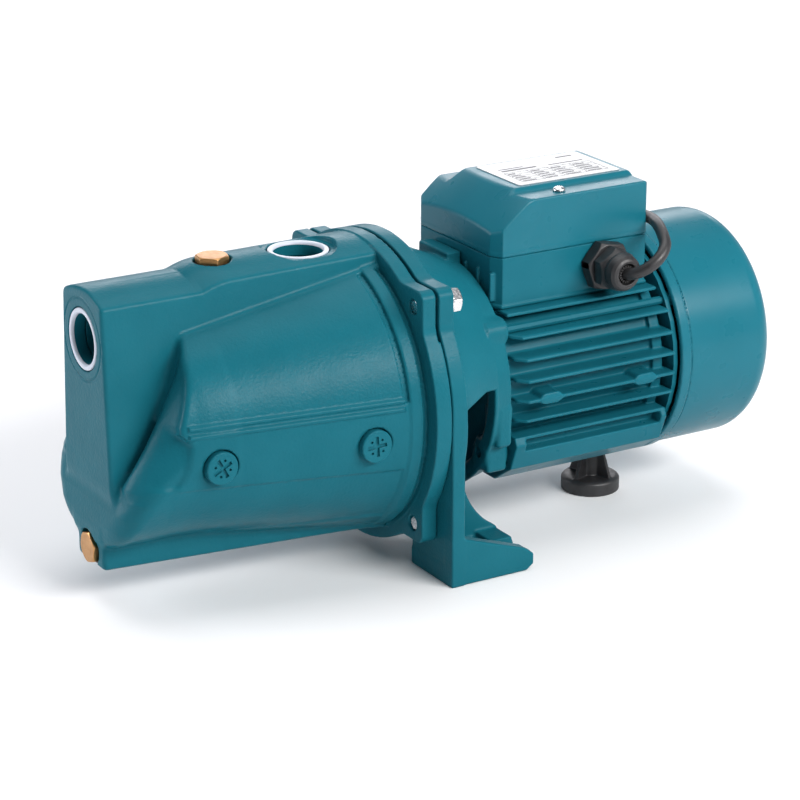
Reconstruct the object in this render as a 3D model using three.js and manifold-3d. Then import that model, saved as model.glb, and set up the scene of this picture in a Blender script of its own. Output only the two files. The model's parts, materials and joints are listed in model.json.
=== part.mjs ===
// Shallow well jet pump: a self-priming cast iron pump end bolted to a finned single-phase motor.
// Lengths are in millimetres. The pieces are laid out in the pump's own axes: X runs along the shaft
// from the suction face, Y across, and Z up from the shaft axis. The exported group then puts the
// origin on the floor under the middle of the pump.
import * as THREE from "three";
import { mergeVertices } from "three/addons/utils/BufferGeometryUtils.js";
import Module from "manifold-3d";

// ---- Driving dimensions -------------------------------------------------------------------------
const SHAFT_HEIGHT = 97.6; // shaft axis above the floor
const FLOOR = -SHAFT_HEIGHT;
const GAP = 0.3; // clearance between neighbouring pieces

const DRAIN_FRONT = -2.2; // foremost point, the drain plug's head
const COVER_REAR = 423; // rearmost point, the fan cover's grille
const MIDDLE_X = (DRAIN_FRONT + COVER_REAR) / 2;

const PORT_BORE = 14.2; // radius inside both port rings
const PORT_RING = 17.7; // outer radius of a port ring
const SUCTION_Z = 56.4;
const DISCHARGE_X = 134.3;
const DISCHARGE_Z = 87.2;

const CASING_NOSE = 34; // where the conical body starts
const BODY_RADIUS_AT_FACE = 57.1; // the cone's radius carried forward to the suction face
const BODY_TAPER = 0.15;
const CASING_WALL = 5.5;
const KEEL_FRONT = -1.8; // the body's lower part, carried forward past the suction face
const KEEL_RADIUS = 62;
const KEEL_TOP = -20;
const WEB_HALF = 26; // half-width of the upright web that carries both ports
const FLANGE_FRONT = 171;
const CASING_FLANGE_REAR = 181;
const BRACKET_FRONT = 181.4;
const BRACKET_FLANGE_REAR = 191.6;
const FLANGE_RADIUS = 90.9;
const FLANGE_CORNER = 75; // half-size of the square whose corners carry the bolts
const FLANGE_CORNER_ROUND = 8;
const BOLT_OFFSET = 64.5; // flange bolts sit this far from the axis in Y and in Z

const PLUG_FLATS = 17; // across flats of the two brass plugs
const PLUG_THREAD = 6.6; // G1/4 thread radius
const PLUG_HEAD = 4.6; // height of a plug's head
const PLUG_RECESS = 10.7; // radius of the recess its head sits in
const PRIMING_X = 80;
const PRIMING_Z = 87.6;
const DRAIN_Z = -65.5;
const SIDE_PLUG_RADIUS = 9.5;
const SIDE_PLUG_Z = -7;
const SIDE_PLUGS = [
  { name: "front", x: 50, seat: 62 },
  { name: "rear", x: 139, seat: 75.5 },
];

const LEG_INNER = 46; // inner and outer faces of the two bracket feet
const LEG_OUTER = 91;
const LEG_REAR = 237;
const BELL_REAR = 236;
const BELL_REAR_RADIUS = 66;
const TIE_ROD_Y = 51.6;
const TIE_ROD_Z = 36;

const MOTOR_FRONT = 238.6;
const MOTOR_REAR = 346;
const STATOR_BORE = 53; // inner radius of the motor housing
const BARREL_RADIUS = 57.5;
const FIN_RADIUS = 70;
const FIN_PITCH = 12.2;
const FIN_TOP = 32.4;
const FIN_THICKNESS = 2.2;
const FIN_COUNT = 5;
const LEDGE_Z = 43.4;

const BOX_FRONT = 238.3; // terminal box
const BOX_REAR = 342;
const BOX_HALF = 45;
const BOX_CORNER = 38;
const BOX_FLOOR = 45.9;
const BOX_SEAM = 76.2;
const BOX_LEDGE = 108.3;
const BOX_FAR_LEDGE = 103.4; // the ledge on the side away from the gland
const BOX_TOP = 110.6;
const BOX_WALL = 2.5;
const COVER_SCREW_X = 286;
const COVER_SCREW_Y = 36.5;

const GLAND_X = 311;
const GLAND_Z = 63;
const GLAND_TIP = 72;

const FOOT_X = 338;
const FOOT_RADIUS = 18;

const CORD_RADIUS = 3.5;
const CORD_FLOOR = FLOOR + CORD_RADIUS + 0.1;
const COIL_X = 225;
const COIL_Y = 150;
const COIL_OUTER_TURN = 43.6;
const COIL_INNER_TURN = 29.2;
const COIL_LAYERS = 2;
const PLUG_AXIS_Z = FLOOR + 18.6;

// The stretch of cord from the gland to the coil: out of the gland, round behind the terminal box,
// over the motor, down its far side and along the floor.
const CORD_ROUTE = [
  [311.7, -72.6, 63.5],
  [312.6, -75.3, 64.3],
  [314.6, -78.5, 65.8],
  [317.1, -80.9, 67.8],
  [320.1, -82.5, 70.1],
  [323.2, -83, 72.5],
  [326.4, -82.5, 75],
  [329.3, -80.9, 77.3],
  [331.9, -78.5, 79.3],
  [333.8, -75.3, 80.8],
  [340.4, -61, 84],
  [346.6, -46, 84.3],
  [349, -30, 83.3],
  [349.6, -14, 79.9],
  [349.6, 0, 77.2],
  [349.6, 18, 74.4],
  [349.6, 36, 67.4],
  [349.6, 52, 56.2],
  [349.6, 65, 41],
  [349.6, 73.6, 22],
  [349.6, 77, 2],
  [349.6, 77.6, -20],
  [349, 77.8, -42],
  [346.2, 78, -62],
  [339.5, 78.6, -78],
  [328, 80, -89],
  [313, 83, -93.5],
  [296, 88, CORD_FLOOR],
  [279, 94.5, CORD_FLOOR],
  [262, 101, CORD_FLOOR],
  [245, 105.4, CORD_FLOOR],
  [COIL_X + 6, COIL_Y - COIL_OUTER_TURN, CORD_FLOOR],
];
const CORD_TAIL = [
  [COIL_X - 24.5, 106.4, -86.2],
  [190, 106.4, -84],
  [180, 106.4, -81],
  [173, 106.4, -79.1],
];

// ---- Materials ----------------------------------------------------------------------------------
const paint = (color, roughness, metalness) =>
  new THREE.MeshStandardMaterial({ color, roughness, metalness });
const TEAL = paint(0x21809a, 0.4, 0.1);
const BRASS = paint(0xbe8c50, 0.35, 1);
const ZINC = paint(0xd8d9dc, 0.3, 1);
const STEEL = paint(0x9a9ca0, 0.35, 1);
const LAMINATION = paint(0x6f7276, 0.5, 1);
const COPPER = paint(0xa65a2e, 0.4, 1);
const LINER = paint(0xe6e4f0, 0.4, 0);
const MOULDING = paint(0x323234, 0.5, 0);
const RUBBER = paint(0x1d1d1f, 0.8, 0);
const CERAMIC = paint(0xe9e6dc, 0.3, 0);
const RESIN = paint(0xd9cfb6, 0.5, 0);
const LABEL = paint(0xf0f1f2, 0.4, 0);
const CAPACITOR_CASE = paint(0xd6d7d2, 0.5, 0);

// ---- Solids -------------------------------------------------------------------------------------
const wasm = await Module();
wasm.setup();

// A closed three.js geometry as a solid with its faces turned outwards.
function solid(geometry) {
  const loose = geometry.index ? geometry.toNonIndexed() : geometry;
  const bare = new THREE.BufferGeometry();
  bare.setAttribute("position", loose.getAttribute("position"));
  const merged = mergeVertices(bare, 1e-3);
  const corners = merged.index.array;
  const faces = [];
  for (let i = 0; i < corners.length; i += 3) {
    const [a, b, c] = corners.subarray(i, i + 3);
    if (a !== b && b !== c && c !== a) faces.push([a, b, c]);
  }
  const build = (triangles) =>
    new wasm.Manifold(
      new wasm.Mesh({
        numProp: 3,
        vertProperties: merged.getAttribute("position").array,
        triVerts: new Uint32Array(triangles.flat()),
      }),
    );
  const made = build(faces);
  return made.volume() > 0 ? made : build(faces.map(([a, b, c]) => [a, c, b]));
}

const join = (first, ...others) => others.reduce((whole, piece) => whole.add(piece), first);
const cut = (first, ...tools) => tools.reduce((whole, tool) => whole.subtract(tool), first);

function box(x0, x1, y0, y1, z0, z1) {
  const geometry = new THREE.BoxGeometry(x1 - x0, y1 - y0, z1 - z0);
  return solid(geometry.translate((x0 + x1) / 2, (y0 + y1) / 2, (z0 + z1) / 2));
}

// Turns a geometry made along +Y so that it lies along the named axis, and moves it.
function laid(geometry, axis, x = 0, y = 0, z = 0) {
  if (axis === "x") geometry.rotateZ(-Math.PI / 2);
  if (axis === "z") geometry.rotateX(Math.PI / 2);
  return geometry.translate(x, y, z);
}

// A round bar along an axis, between two places on it, through the point (x, y, z).
function bar(axis, radius, from, to, centre = [0, 0, 0], segments = 12) {
  const geometry = new THREE.CylinderGeometry(radius, radius, to - from, segments);
  const place = { x: [...centre], y: [...centre], z: [...centre] }[axis];
  place["xyz".indexOf(axis)] = (from + to) / 2;
  return solid(laid(geometry, axis, ...place));
}

// A solid of revolution about an axis: the profile lists [place along the axis, radius].
function turned(profile, axis = "x", centre = [0, 0, 0], segments = 28) {
  const points = profile.map(([along, radius]) => new THREE.Vector2(radius, along));
  return solid(laid(new THREE.LatheGeometry(points, segments), axis, ...centre));
}

// A ring or sleeve: its profile is closed by repeating its first point.
const ring = (profile, ...rest) => turned([...profile, profile[0]], ...rest);
const sleeve = (from, to, inner, outer, segments = 20, centre = [0, 0, 0], axis = "x") =>
  ring([[from, inner], [from, outer], [to, outer], [to, inner]], axis, centre, segments);

function outline(points) {
  return new THREE.Shape(points.map(([a, b]) => new THREE.Vector2(a, b)));
}

// Extrudes an outline drawn in (Y, Z) along X, in (X, Z) along Y, or in (X, Y) along Z.
function extruded(shape, axis, from, to, curveSegments = 8) {
  const settings = { depth: to - from, bevelEnabled: false, curveSegments };
  const geometry = new THREE.ExtrudeGeometry(shape, settings);
  const x = new THREE.Vector3(1, 0, 0);
  const y = new THREE.Vector3(0, 1, 0);
  const z = new THREE.Vector3(0, 0, 1);
  const turn = new THREE.Matrix4();
  if (axis === "x") turn.makeBasis(y, z, x).setPosition(from, 0, 0);
  if (axis === "y") turn.makeBasis(x, z, y.clone().negate()).setPosition(0, to, 0);
  if (axis === "z") turn.makeBasis(x, y, z).setPosition(0, 0, from);
  return solid(geometry.applyMatrix4(turn));
}

function hexagon(flats, x = 0, y = 0) {
  const corner = flats / Math.sqrt(3);
  const points = [];
  for (let i = 0; i < 6; i++) {
    const angle = ((i + 0.5) * Math.PI) / 3;
    points.push([x + corner * Math.cos(angle), y + corner * Math.sin(angle)]);
  }
  return outline(points);
}

// Copies of a solid turned about the shaft axis.
function around(piece, count) {
  const step = 360 / count;
  return Array.from({ length: count }, (_, i) => piece.rotate([i * step, 0, 0]));
}

const mirrored = (piece) => piece.mirror([0, 1, 0]);
const bodyRadius = (x) => BODY_RADIUS_AT_FACE + BODY_TAPER * x;
const CORNERS = [
  [-1, 1],
  [1, 1],
  [1, -1],
  [-1, -1],
];

// ---- Pump casing --------------------------------------------------------------------------------

// The bolted flange: a disc joined with a square whose rounded corners take the bolts.
function flangePlate(from, to) {
  const straight = FLANGE_CORNER - FLANGE_CORNER_ROUND;
  const disc = bar("x", FLANGE_RADIUS, from, to, [0, 0, 0], 36);
  const across = box(from, to, -straight, straight, -FLANGE_CORNER, FLANGE_CORNER);
  const upright = box(from, to, -FLANGE_CORNER, FLANGE_CORNER, -straight, straight);
  const rounds = CORNERS.map(([y, z]) =>
    bar("x", FLANGE_CORNER_ROUND, from, to, [0, y * straight, z * straight], 8),
  );
  return join(disc, across, upright, ...rounds);
}

function boltHoles(from, to, radius) {
  return CORNERS.map(([y, z]) =>
    bar("x", radius, from, to, [0, y * BOLT_OFFSET, z * BOLT_OFFSET], 8),
  );
}

// The web's cross-section: straight sides with a shallow arch over them.
function webOutline(bottom, shoulder, crown) {
  const shape = new THREE.Shape();
  shape.moveTo(-WEB_HALF, bottom);
  shape.lineTo(WEB_HALF, bottom);
  shape.lineTo(WEB_HALF, shoulder);
  shape.quadraticCurveTo(0, 2 * crown - shoulder, -WEB_HALF, shoulder);
  shape.closePath();
  return shape;
}

function pumpCasing() {
  const cone = turned([
    [CASING_NOSE, 0],
    [CASING_NOSE, bodyRadius(CASING_NOSE) - 7],
    [CASING_NOSE + 7, bodyRadius(CASING_NOSE + 7)],
    [FLANGE_FRONT + 1, bodyRadius(FLANGE_FRONT + 1)],
    [FLANGE_FRONT + 1, 0],
  ]);
  const frontWeb = extruded(webOutline(-58, 79.5, 86), "x", 0, 74);
  const raisedWeb = extruded(webOutline(0, 84.5, 90), "x", 66, FLANGE_FRONT + 1);
  const slope = box(-30, 0, -40, 40, 0, 30).rotate([0, 35, 0]).translate([74, 0, 79.5]);
  const belly = solid(new THREE.SphereGeometry(1, 18, 10).scale(43, 44, 41).translate(44.5, 0, -23.5));
  const barrel = turned([
    [KEEL_FRONT, 0],
    [KEEL_FRONT, KEEL_RADIUS - 14],
    [KEEL_FRONT + 4, KEEL_RADIUS - 5],
    [KEEL_FRONT + 13, KEEL_RADIUS],
    [CASING_NOSE + 8, KEEL_RADIUS],
    [CASING_NOSE + 8, 0],
  ]);
  const keel = cut(barrel, box(-5, CASING_NOSE + 10, -70, 70, KEEL_TOP, 70));
  const plinth = extruded(
    outline([[0, -17], [150, -36], [150, 36], [0, 17]]),
    "z",
    -75,
    -40,
  );
  const outside = join(
    cone,
    frontWeb,
    cut(raisedWeb, slope),
    belly,
    keel,
    plinth,
    flangePlate(FLANGE_FRONT, CASING_FLANGE_REAR),
  );

  const chamber = turned([
    [39, 0],
    [39, bodyRadius(39) - CASING_WALL - 4],
    [160, bodyRadius(160) - CASING_WALL],
    [160, 77],
    [CASING_FLANGE_REAR + 1, 77],
    [CASING_FLANGE_REAR + 1, 0],
  ]);
  const upperPassage = box(62, 165, -18, 18, 30, 78.5);
  const suction = bar("x", PORT_BORE, -1, 70, [0, 0, SUCTION_Z], 24);
  const suctionSeat = bar("x", PORT_RING + GAP, -1, 9, [0, 0, SUCTION_Z], 24);
  const discharge = bar("z", PORT_BORE, 70, 95, [DISCHARGE_X, 0, 0], 24);
  const dischargeSeat = bar("z", PORT_RING + GAP, DISCHARGE_Z - 10, 95, [DISCHARGE_X, 0, 0], 24);
  const dischargeRecess = bar("z", 21.5, DISCHARGE_Z - GAP, 95, [DISCHARGE_X, 0, 0], 24);
  const priming = bar("z", PLUG_THREAD + 0.4, 70, 95, [PRIMING_X, 0, 0]);
  const primingSeat = bar("z", PLUG_RECESS, PRIMING_Z - 1.5, 95, [PRIMING_X, 0, 0]);
  const drain = bar("x", PLUG_THREAD + 0.4, -1, 44, [0, 0, DRAIN_Z]);
  const drainSeat = bar("x", PLUG_RECESS, -3, DRAIN_FRONT + PLUG_HEAD + 1.5, [0, 0, DRAIN_Z]);
  const drainPocket = box(36, 52, -7, 7, -69, -45);
  const plugSeats = SIDE_PLUGS.flatMap(({ x, seat }) => {
    const hole = bar("y", SIDE_PLUG_RADIUS - 2, 40, 95, [x, 0, SIDE_PLUG_Z], 12);
    const face = bar("y", SIDE_PLUG_RADIUS + 0.7, seat, 95, [x, 0, SIDE_PLUG_Z], 16);
    return [hole, face, mirrored(hole), mirrored(face)];
  });
  return cut(
    outside,
    chamber,
    upperPassage,
    suction,
    suctionSeat,
    discharge,
    dischargeSeat,
    dischargeRecess,
    priming,
    primingSeat,
    drain,
    drainSeat,
    drainPocket,
    ...plugSeats,
    ...boltHoles(FLANGE_FRONT - 1, CASING_FLANGE_REAR + 1, 4.4),
  );
}

// The moulded ring in each port, with a rounded lip.
function portRing(axis, face, inward, centre) {
  const profile = [
    [0, PORT_BORE],
    [0, PORT_RING - 1],
    [-1, PORT_RING],
    [-8.5, PORT_RING],
    [-8.5, PORT_BORE],
  ].map(([depth, radius]) => [face + depth * inward, radius]);
  return ring(profile, axis, centre, 24);
}

function primingPlug() {
  const hex = extruded(hexagon(PLUG_FLATS, PRIMING_X, 0), "z", PRIMING_Z, PRIMING_Z + PLUG_HEAD);
  const thread = bar("z", PLUG_THREAD, PRIMING_Z - 11, PRIMING_Z + 1, [PRIMING_X, 0, 0]);
  return join(hex, thread);
}

function primingWasher() {
  return sleeve(PRIMING_Z - 1.2, PRIMING_Z - GAP, 7.3, 9.9, 24, [PRIMING_X, 0, 0], "z");
}

function drainPlug() {
  const seat = DRAIN_FRONT + PLUG_HEAD;
  const hex = extruded(hexagon(PLUG_FLATS, 0, DRAIN_Z), "x", DRAIN_FRONT, seat);
  return join(hex, bar("x", PLUG_THREAD, seat - 1, seat + 11, [0, 0, DRAIN_Z]));
}

function drainWasher() {
  const seat = DRAIN_FRONT + PLUG_HEAD;
  return sleeve(seat + GAP, seat + 1.2, 7.3, 9.9, 24, [0, 0, DRAIN_Z]);
}

// A screwed core plug with a crossed driving recess and four small dimples round it.
function sidePlug({ x, seat }, turnDegrees) {
  const face = seat + GAP + 4.6;
  const disc = bar("y", SIDE_PLUG_RADIUS, seat + GAP, face, [x, 0, SIDE_PLUG_Z], 20);
  const thread = bar("y", SIDE_PLUG_RADIUS - 2.4, seat - 9, seat + 1, [x, 0, SIDE_PLUG_Z], 12);
  const marks = [
    box(-6, 6, -1.4, 1, -1, 1),
    box(-1, 1, -1.4, 1, -6, 6),
    ...CORNERS.map(([a, b]) => bar("y", 0.8, -1, 1, [a * 3.4, 0, b * 3.4], 6)),
  ];
  const placed = marks.map((mark) =>
    mark.rotate([0, turnDegrees, 0]).translate([x, face, SIDE_PLUG_Z]),
  );
  return cut(join(disc, thread), ...placed);
}

// ---- Hydraulic pieces inside the casing ---------------------------------------------------------
function ejectorNozzle() {
  return ring([[39.4, 5], [39.4, 13], [46, 13], [60, 6], [60, 3.5]], "x", [0, 0, 0], 16);
}

function ejectorVenturi() {
  const outside = [[63, 16], [82, 9], [140, 14], [157.8, 19]];
  const inside = [[157.8, 15], [140, 11], [82, 5.6], [63, 12]];
  return ring([...outside, ...inside], "x", [0, 0, 0], 20);
}

function diffuserPlate() {
  return ring([[160.4, 19.5], [160.4, 76.6], [180.6, 76.6], [180.6, 71], [161.8, 71], [161.8, 19.5]]);
}

function impeller() {
  const front = ring([[162, 15.5], [163.6, 62], [165.2, 62], [164.4, 15.5]], "x", [0, 0, 0], 24);
  const back = sleeve(169.4, 171.6, 6.3, 62, 24);
  const hub = sleeve(165, 174.6, 6.3, 12, 12);
  const vane = box(164.2, 170, -1, 1, 17, 61);
  return join(back, hub, front, ...around(vane, 6));
}

function impellerNut() {
  return cut(extruded(hexagon(13), "x", 158.8, 161.6), bar("x", 3.3, 158, 163, [0, 0, 0], 16));
}

function sealSpring() {
  const turns = 3;
  const points = [];
  for (let i = 0; i <= turns * 10; i++) {
    const angle = (i / 10) * 2 * Math.PI;
    points.push(
      new THREE.Vector3(175.8 + (i / 10) * 1.5, 10.5 * Math.cos(angle), 10.5 * Math.sin(angle)),
    );
  }
  const curve = new THREE.CatmullRomCurve3(points);
  return sweep(curve, 0.6, 5, turns * 10);
}

// A round section carried along a curve.
function sweep(curve, radius, sides, steps) {
  const points = [];
  for (let i = 0; i < sides; i++) {
    const angle = (i / sides) * 2 * Math.PI;
    points.push([radius * Math.cos(angle), radius * Math.sin(angle)]);
  }
  const settings = { steps, bevelEnabled: false, extrudePath: curve };
  return solid(new THREE.ExtrudeGeometry(outline(points), settings));
}

// Throws off any water that creeps along the shaft.
function shaftSlinger() {
  const profile = [[208, 7.8], [208, 10.5], [210, 19], [212, 19], [213, 10.5], [213, 7.8]];
  return ring(profile, "x", [0, 0, 0], 16);
}

// ---- Motor bracket ------------------------------------------------------------------------------

// One foot of the bracket, on the +Y side: an upright plate, a slotted base, an outer side wall and
// an inner gusset with a hollow curved edge.
function bracketFoot() {
  const upright = box(BRACKET_FRONT, 190, LEG_INNER, LEG_OUTER, FLOOR, 0);
  const base = box(BRACKET_FRONT, LEG_REAR - 1, LEG_INNER, 87, FLOOR, -87.6);
  const pad = box(222, LEG_REAR - 1, LEG_INNER + 1, 69.5, -88, -84.5);
  const wall = extruded(
    outline([
      [BRACKET_FRONT, FLOOR],
      [233, FLOOR],
      [LEG_REAR, -94],
      [LEG_REAR, -88],
      [231, -83.4],
      [190, -69],
      [BRACKET_FRONT, -69],
    ]),
    "y",
    83,
    LEG_OUTER,
  );
  const edge = new THREE.Shape();
  edge.moveTo(186, -90);
  edge.lineTo(232, -90);
  edge.lineTo(232, -84.8);
  edge.quadraticCurveTo(204, -76, 190, -30);
  edge.lineTo(186, -30);
  edge.closePath();
  const gusset = extruded(edge, "y", LEG_INNER, LEG_INNER + 6);
  const slot = join(
    box(220, LEG_REAR + 1, 70, 80, FLOOR - 1, -80),
    bar("z", 5, FLOOR - 1, -80, [220, 75, 0], 16),
  );
  return cut(join(upright, base, pad, wall, gusset), slot);
}

function motorBracket() {
  const plate = flangePlate(BRACKET_FRONT, BRACKET_FLANGE_REAR);
  const bell = ring([
    [190, 84.6],
    [226, 68],
    [BELL_REAR, BELL_REAR_RADIUS],
    [BELL_REAR, 59],
    [226, 59],
    [190, 78],
  ], "x", [0, 0, 0], 28);
  const windows = box(194, 223, 18, 95, -95, 3);
  const openBell = cut(bell, windows, mirrored(windows));
  const hub = bar("x", 20, 190, 198, [0, 0, 0], 20);
  const rearWall = sleeve(230, BELL_REAR, 22, 61, 28);
  const bearingSeat = sleeve(225, BELL_REAR, 17.6, 24, 20);
  const lugs = CORNERS.map(([y, z]) =>
    bar("x", 8, 224, 238, [0, y * TIE_ROD_Y, z * TIE_ROD_Z], 10),
  );
  const rodHoles = CORNERS.map(([y, z]) =>
    bar("x", 2.9, 226, 239, [0, y * TIE_ROD_Y, z * TIE_ROD_Z], 8),
  );
  const foot = bracketFoot();
  const clearOfPump = cut(
    join(plate, openBell, hub, rearWall, bearingSeat, ...lugs, foot, mirrored(foot)),
    bar("x", 9, 180, 199, [0, 0, 0], 16),
    bar("x", 15.3, 180, 194.3, [0, 0, 0], 20),
    ...rodHoles,
    ...boltHoles(180, 194, 4.4),
  );
  const ringGroove = sleeve(180, 184, 78.5, 83, 28);
  const boltSeats = CORNERS.map(([y, z]) =>
    bar("x", 9.8, 191.7, 206, [0, y * BOLT_OFFSET, z * BOLT_OFFSET], 12),
  );
  const seat = bar("x", 17.6, 224, 240, [0, 0, 0], 20);
  return cut(clearOfPump, ringGroove, seat, ...boltSeats);
}

function flangeBolt([y, z]) {
  const centre = [0, y * BOLT_OFFSET, z * BOLT_OFFSET];
  const washerFace = bar("x", 8.4, 192, 193.4, centre, 16);
  const head = extruded(hexagon(13, centre[1], centre[2]), "x", 193, 199.5);
  return join(washerFace, head, bar("x", 4, 172, 192.5, centre, 8));
}

// ---- Motor --------------------------------------------------------------------------------------
function motorHousing() {
  const barrel = bar("x", BARREL_RADIUS, MOTOR_FRONT, MOTOR_REAR, [0, 0, 0], 40);
  const fins = [];
  for (let i = 0; i < FIN_COUNT; i++) {
    const z = FIN_TOP - i * FIN_PITCH;
    fins.push(box(240.5, 349, -75, 75, z - FIN_THICKNESS / 2, z + FIN_THICKNESS / 2));
  }
  const padZ = FIN_TOP - 3 * FIN_PITCH;
  for (const x of [261.5, 327.5]) fins.push(box(x - 7, x + 7, -75, 75, padZ - 3.5, padZ + 3.5));
  const finned = join(fins[0], ...fins.slice(1)).intersect(
    bar("x", FIN_RADIUS, 230, 350, [0, 0, 0], 40),
  );
  const ledge = box(240.5, 345, -53.4, 53.4, LEDGE_Z, BOX_FLOOR - GAP);
  const rail = extruded(
    outline([
      [-64.5, -26.5],
      [-66.5, -31],
      [-60, -47],
      [-43, -58.5],
      [43, -58.5],
      [60, -47],
      [66.5, -31],
      [64.5, -26.5],
    ]),
    "x",
    MOTOR_FRONT + 1,
    MOTOR_REAR,
  );
  const window = box(252, 338, 55, 80, -37.5, -29.5);
  const footBoss = bar("z", 9, -64, -55, [FOOT_X, 0, 0]);
  const rods = CORNERS.map(([y, z]) =>
    bar("x", 2.9, 230, 355, [0, y * TIE_ROD_Y, z * TIE_ROD_Z], 8),
  );
  return cut(
    join(barrel, finned, ledge, rail, footBoss),
    bar("x", STATOR_BORE, 230, 350, [0, 0, 0], 36),
    window,
    mirrored(window),
    bar("z", 3.3, -66, -50, [FOOT_X, 0, 0], 16),
    ...rods,
  );
}

function tieRod([y, z]) {
  const centre = [0, y * TIE_ROD_Y, z * TIE_ROD_Z];
  const head = bar("x", 4.6, 352.6, 356.5, centre, 8);
  return join(head, bar("x", 2.5, 227, 353, centre, 8));
}

function rearShield() {
  const rods = CORNERS.map(([y, z]) =>
    bar("x", 2.9, 340, 360, [0, y * TIE_ROD_Y, z * TIE_ROD_Z], 8),
  );
  return cut(
    join(bar("x", 67, 349.5, 352.3, [0, 0, 0], 32), bar("x", 24, 341.5, 356, [0, 0, 0], 20)),
    bar("x", 17.6, 340, 354.8, [0, 0, 0], 20),
    bar("x", 9, 340, 360, [0, 0, 0], 12),
    ...rods,
  );
}

function statorCore() {
  const slot = box(250, 330, -1.6, 1.6, 30, 42.6);
  return cut(sleeve(258, 326, 30.6, STATOR_BORE - GAP - 0.2, 30), ...around(slot, 10));
}

function statorWinding() {
  const bars = around(box(254, 330, -1.2, 1.2, 33.5, 42.2), 10);
  const front = [[243, 36], [243, 44], [247, 48], [257.6, 48], [257.6, 33.5], [247, 33.5]];
  const rear = [[326.4, 33.5], [326.4, 48], [336, 48], [340, 44], [340, 36], [336, 33.5]];
  const overhangs = [front, rear].map((profile) => ring(profile, "x", [0, 0, 0], 20));
  return join(...overhangs, ...bars);
}

function rotorShaft() {
  return turned(
    [
      [156, 0],
      [156, 3],
      [162, 3],
      [162, 6],
      [196, 6],
      [197, 7.5],
      [222, 7.5],
      [223, 8.5],
      [225, 8.5],
      [225, 7.2],
      [237.4, 7.2],
      [237.4, 9.5],
      [342.4, 9.5],
      [342.4, 7.2],
      [354, 7.2],
      [354, 6.4],
      [395, 6.4],
      [396, 5.4],
      [396, 0],
    ],
    "x",
    [0, 0, 0],
    16,
  );
}

// Bearing rings 35 mm outside and 11 mm wide, with six balls in a cage.
const bearingOuter = (x) => sleeve(x, x + 11, 14.6, 17.2, 16);
const bearingInner = (x) => sleeve(x, x + 11, 7.8, 10, 12);

function bearingBalls(x) {
  const ball = solid(new THREE.SphereGeometry(1.9, 5, 4).translate(x + 5.5, 0, 12.3));
  const cage = sleeve(x + 4.7, x + 6.3, 11.8, 12.8, 12);
  return join(cage, ...around(ball, 6));
}

function coolingFan() {
  const hub = sleeve(368, 386, 6.9, 13, 14);
  const disc = sleeve(368, 370.2, 12, 57, 20);
  const blade = box(369, 391, -1, 1, 12, 62);
  return join(hub, disc, ...around(blade, 7));
}

function fanCover() {
  const shell = turned(
    [
      [COVER_REAR, 0],
      [COVER_REAR, 55],
      [COVER_REAR - 6, 66.4],
      [COVER_REAR - 13, 69.8],
      [361, 69.8],
      [359.6, 71.2],
      [353, 71.2],
      [353, 69.2],
      [358, 69.2],
      [COVER_REAR - 13, 68],
      [COVER_REAR - 7, 64.8],
      [COVER_REAR - 1.8, 54.4],
      [COVER_REAR - 1.8, 0],
    ],
    "x",
    [0, 0, 0],
    32,
  );
  const slot = box(COVER_REAR - 3, COVER_REAR + 1, -2.6, 2.6, 20, 51);
  return cut(shell, ...around(slot, 12));
}

// ---- Terminal box -------------------------------------------------------------------------------

// The box's plan: square at the back, with its front corners cut off.
function boxPlan(inset = 0) {
  return outline([
    [BOX_REAR - inset, -BOX_HALF + inset],
    [BOX_REAR - inset, BOX_HALF - inset],
    [BOX_FRONT + 4 + inset / 2, BOX_HALF - inset],
    [BOX_FRONT + inset, BOX_CORNER - inset / 2],
    [BOX_FRONT + inset, -BOX_CORNER + inset / 2],
    [BOX_FRONT + 4 + inset / 2, -BOX_HALF + inset],
  ]);
}

function screwPosts(radius, from, to, segments = 12) {
  return [-1, 1].map((side) =>
    bar("z", radius, from, to, [COVER_SCREW_X, side * COVER_SCREW_Y, 0], segments),
  );
}

function terminalBoxBase() {
  const inner = extruded(boxPlan(BOX_WALL), "z", 63, BOX_SEAM + 1);
  const sideWell = box(246, BOX_REAR - BOX_WALL, 33, BOX_HALF - BOX_WALL, 52.5, BOX_SEAM + 1);
  const shell = cut(
    extruded(boxPlan(), "z", BOX_FLOOR, BOX_SEAM),
    inner,
    sideWell,
    mirrored(sideWell),
    bar("x", BARREL_RADIUS + GAP, 230, 350, [0, 0, 0], 40),
    bar("y", 8.2, -50, -40, [GLAND_X, 0, GLAND_Z]),
  );
  return cut(join(shell, ...screwPosts(4.4, 52, BOX_SEAM)), ...screwPosts(1.9, 66, BOX_SEAM + 1));
}

function terminalBoxGasket() {
  return cut(
    extruded(boxPlan(1.6), "z", BOX_SEAM + GAP, BOX_SEAM + 1.5),
    extruded(boxPlan(BOX_WALL), "z", BOX_SEAM, BOX_SEAM + 2),
  );
}

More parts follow.
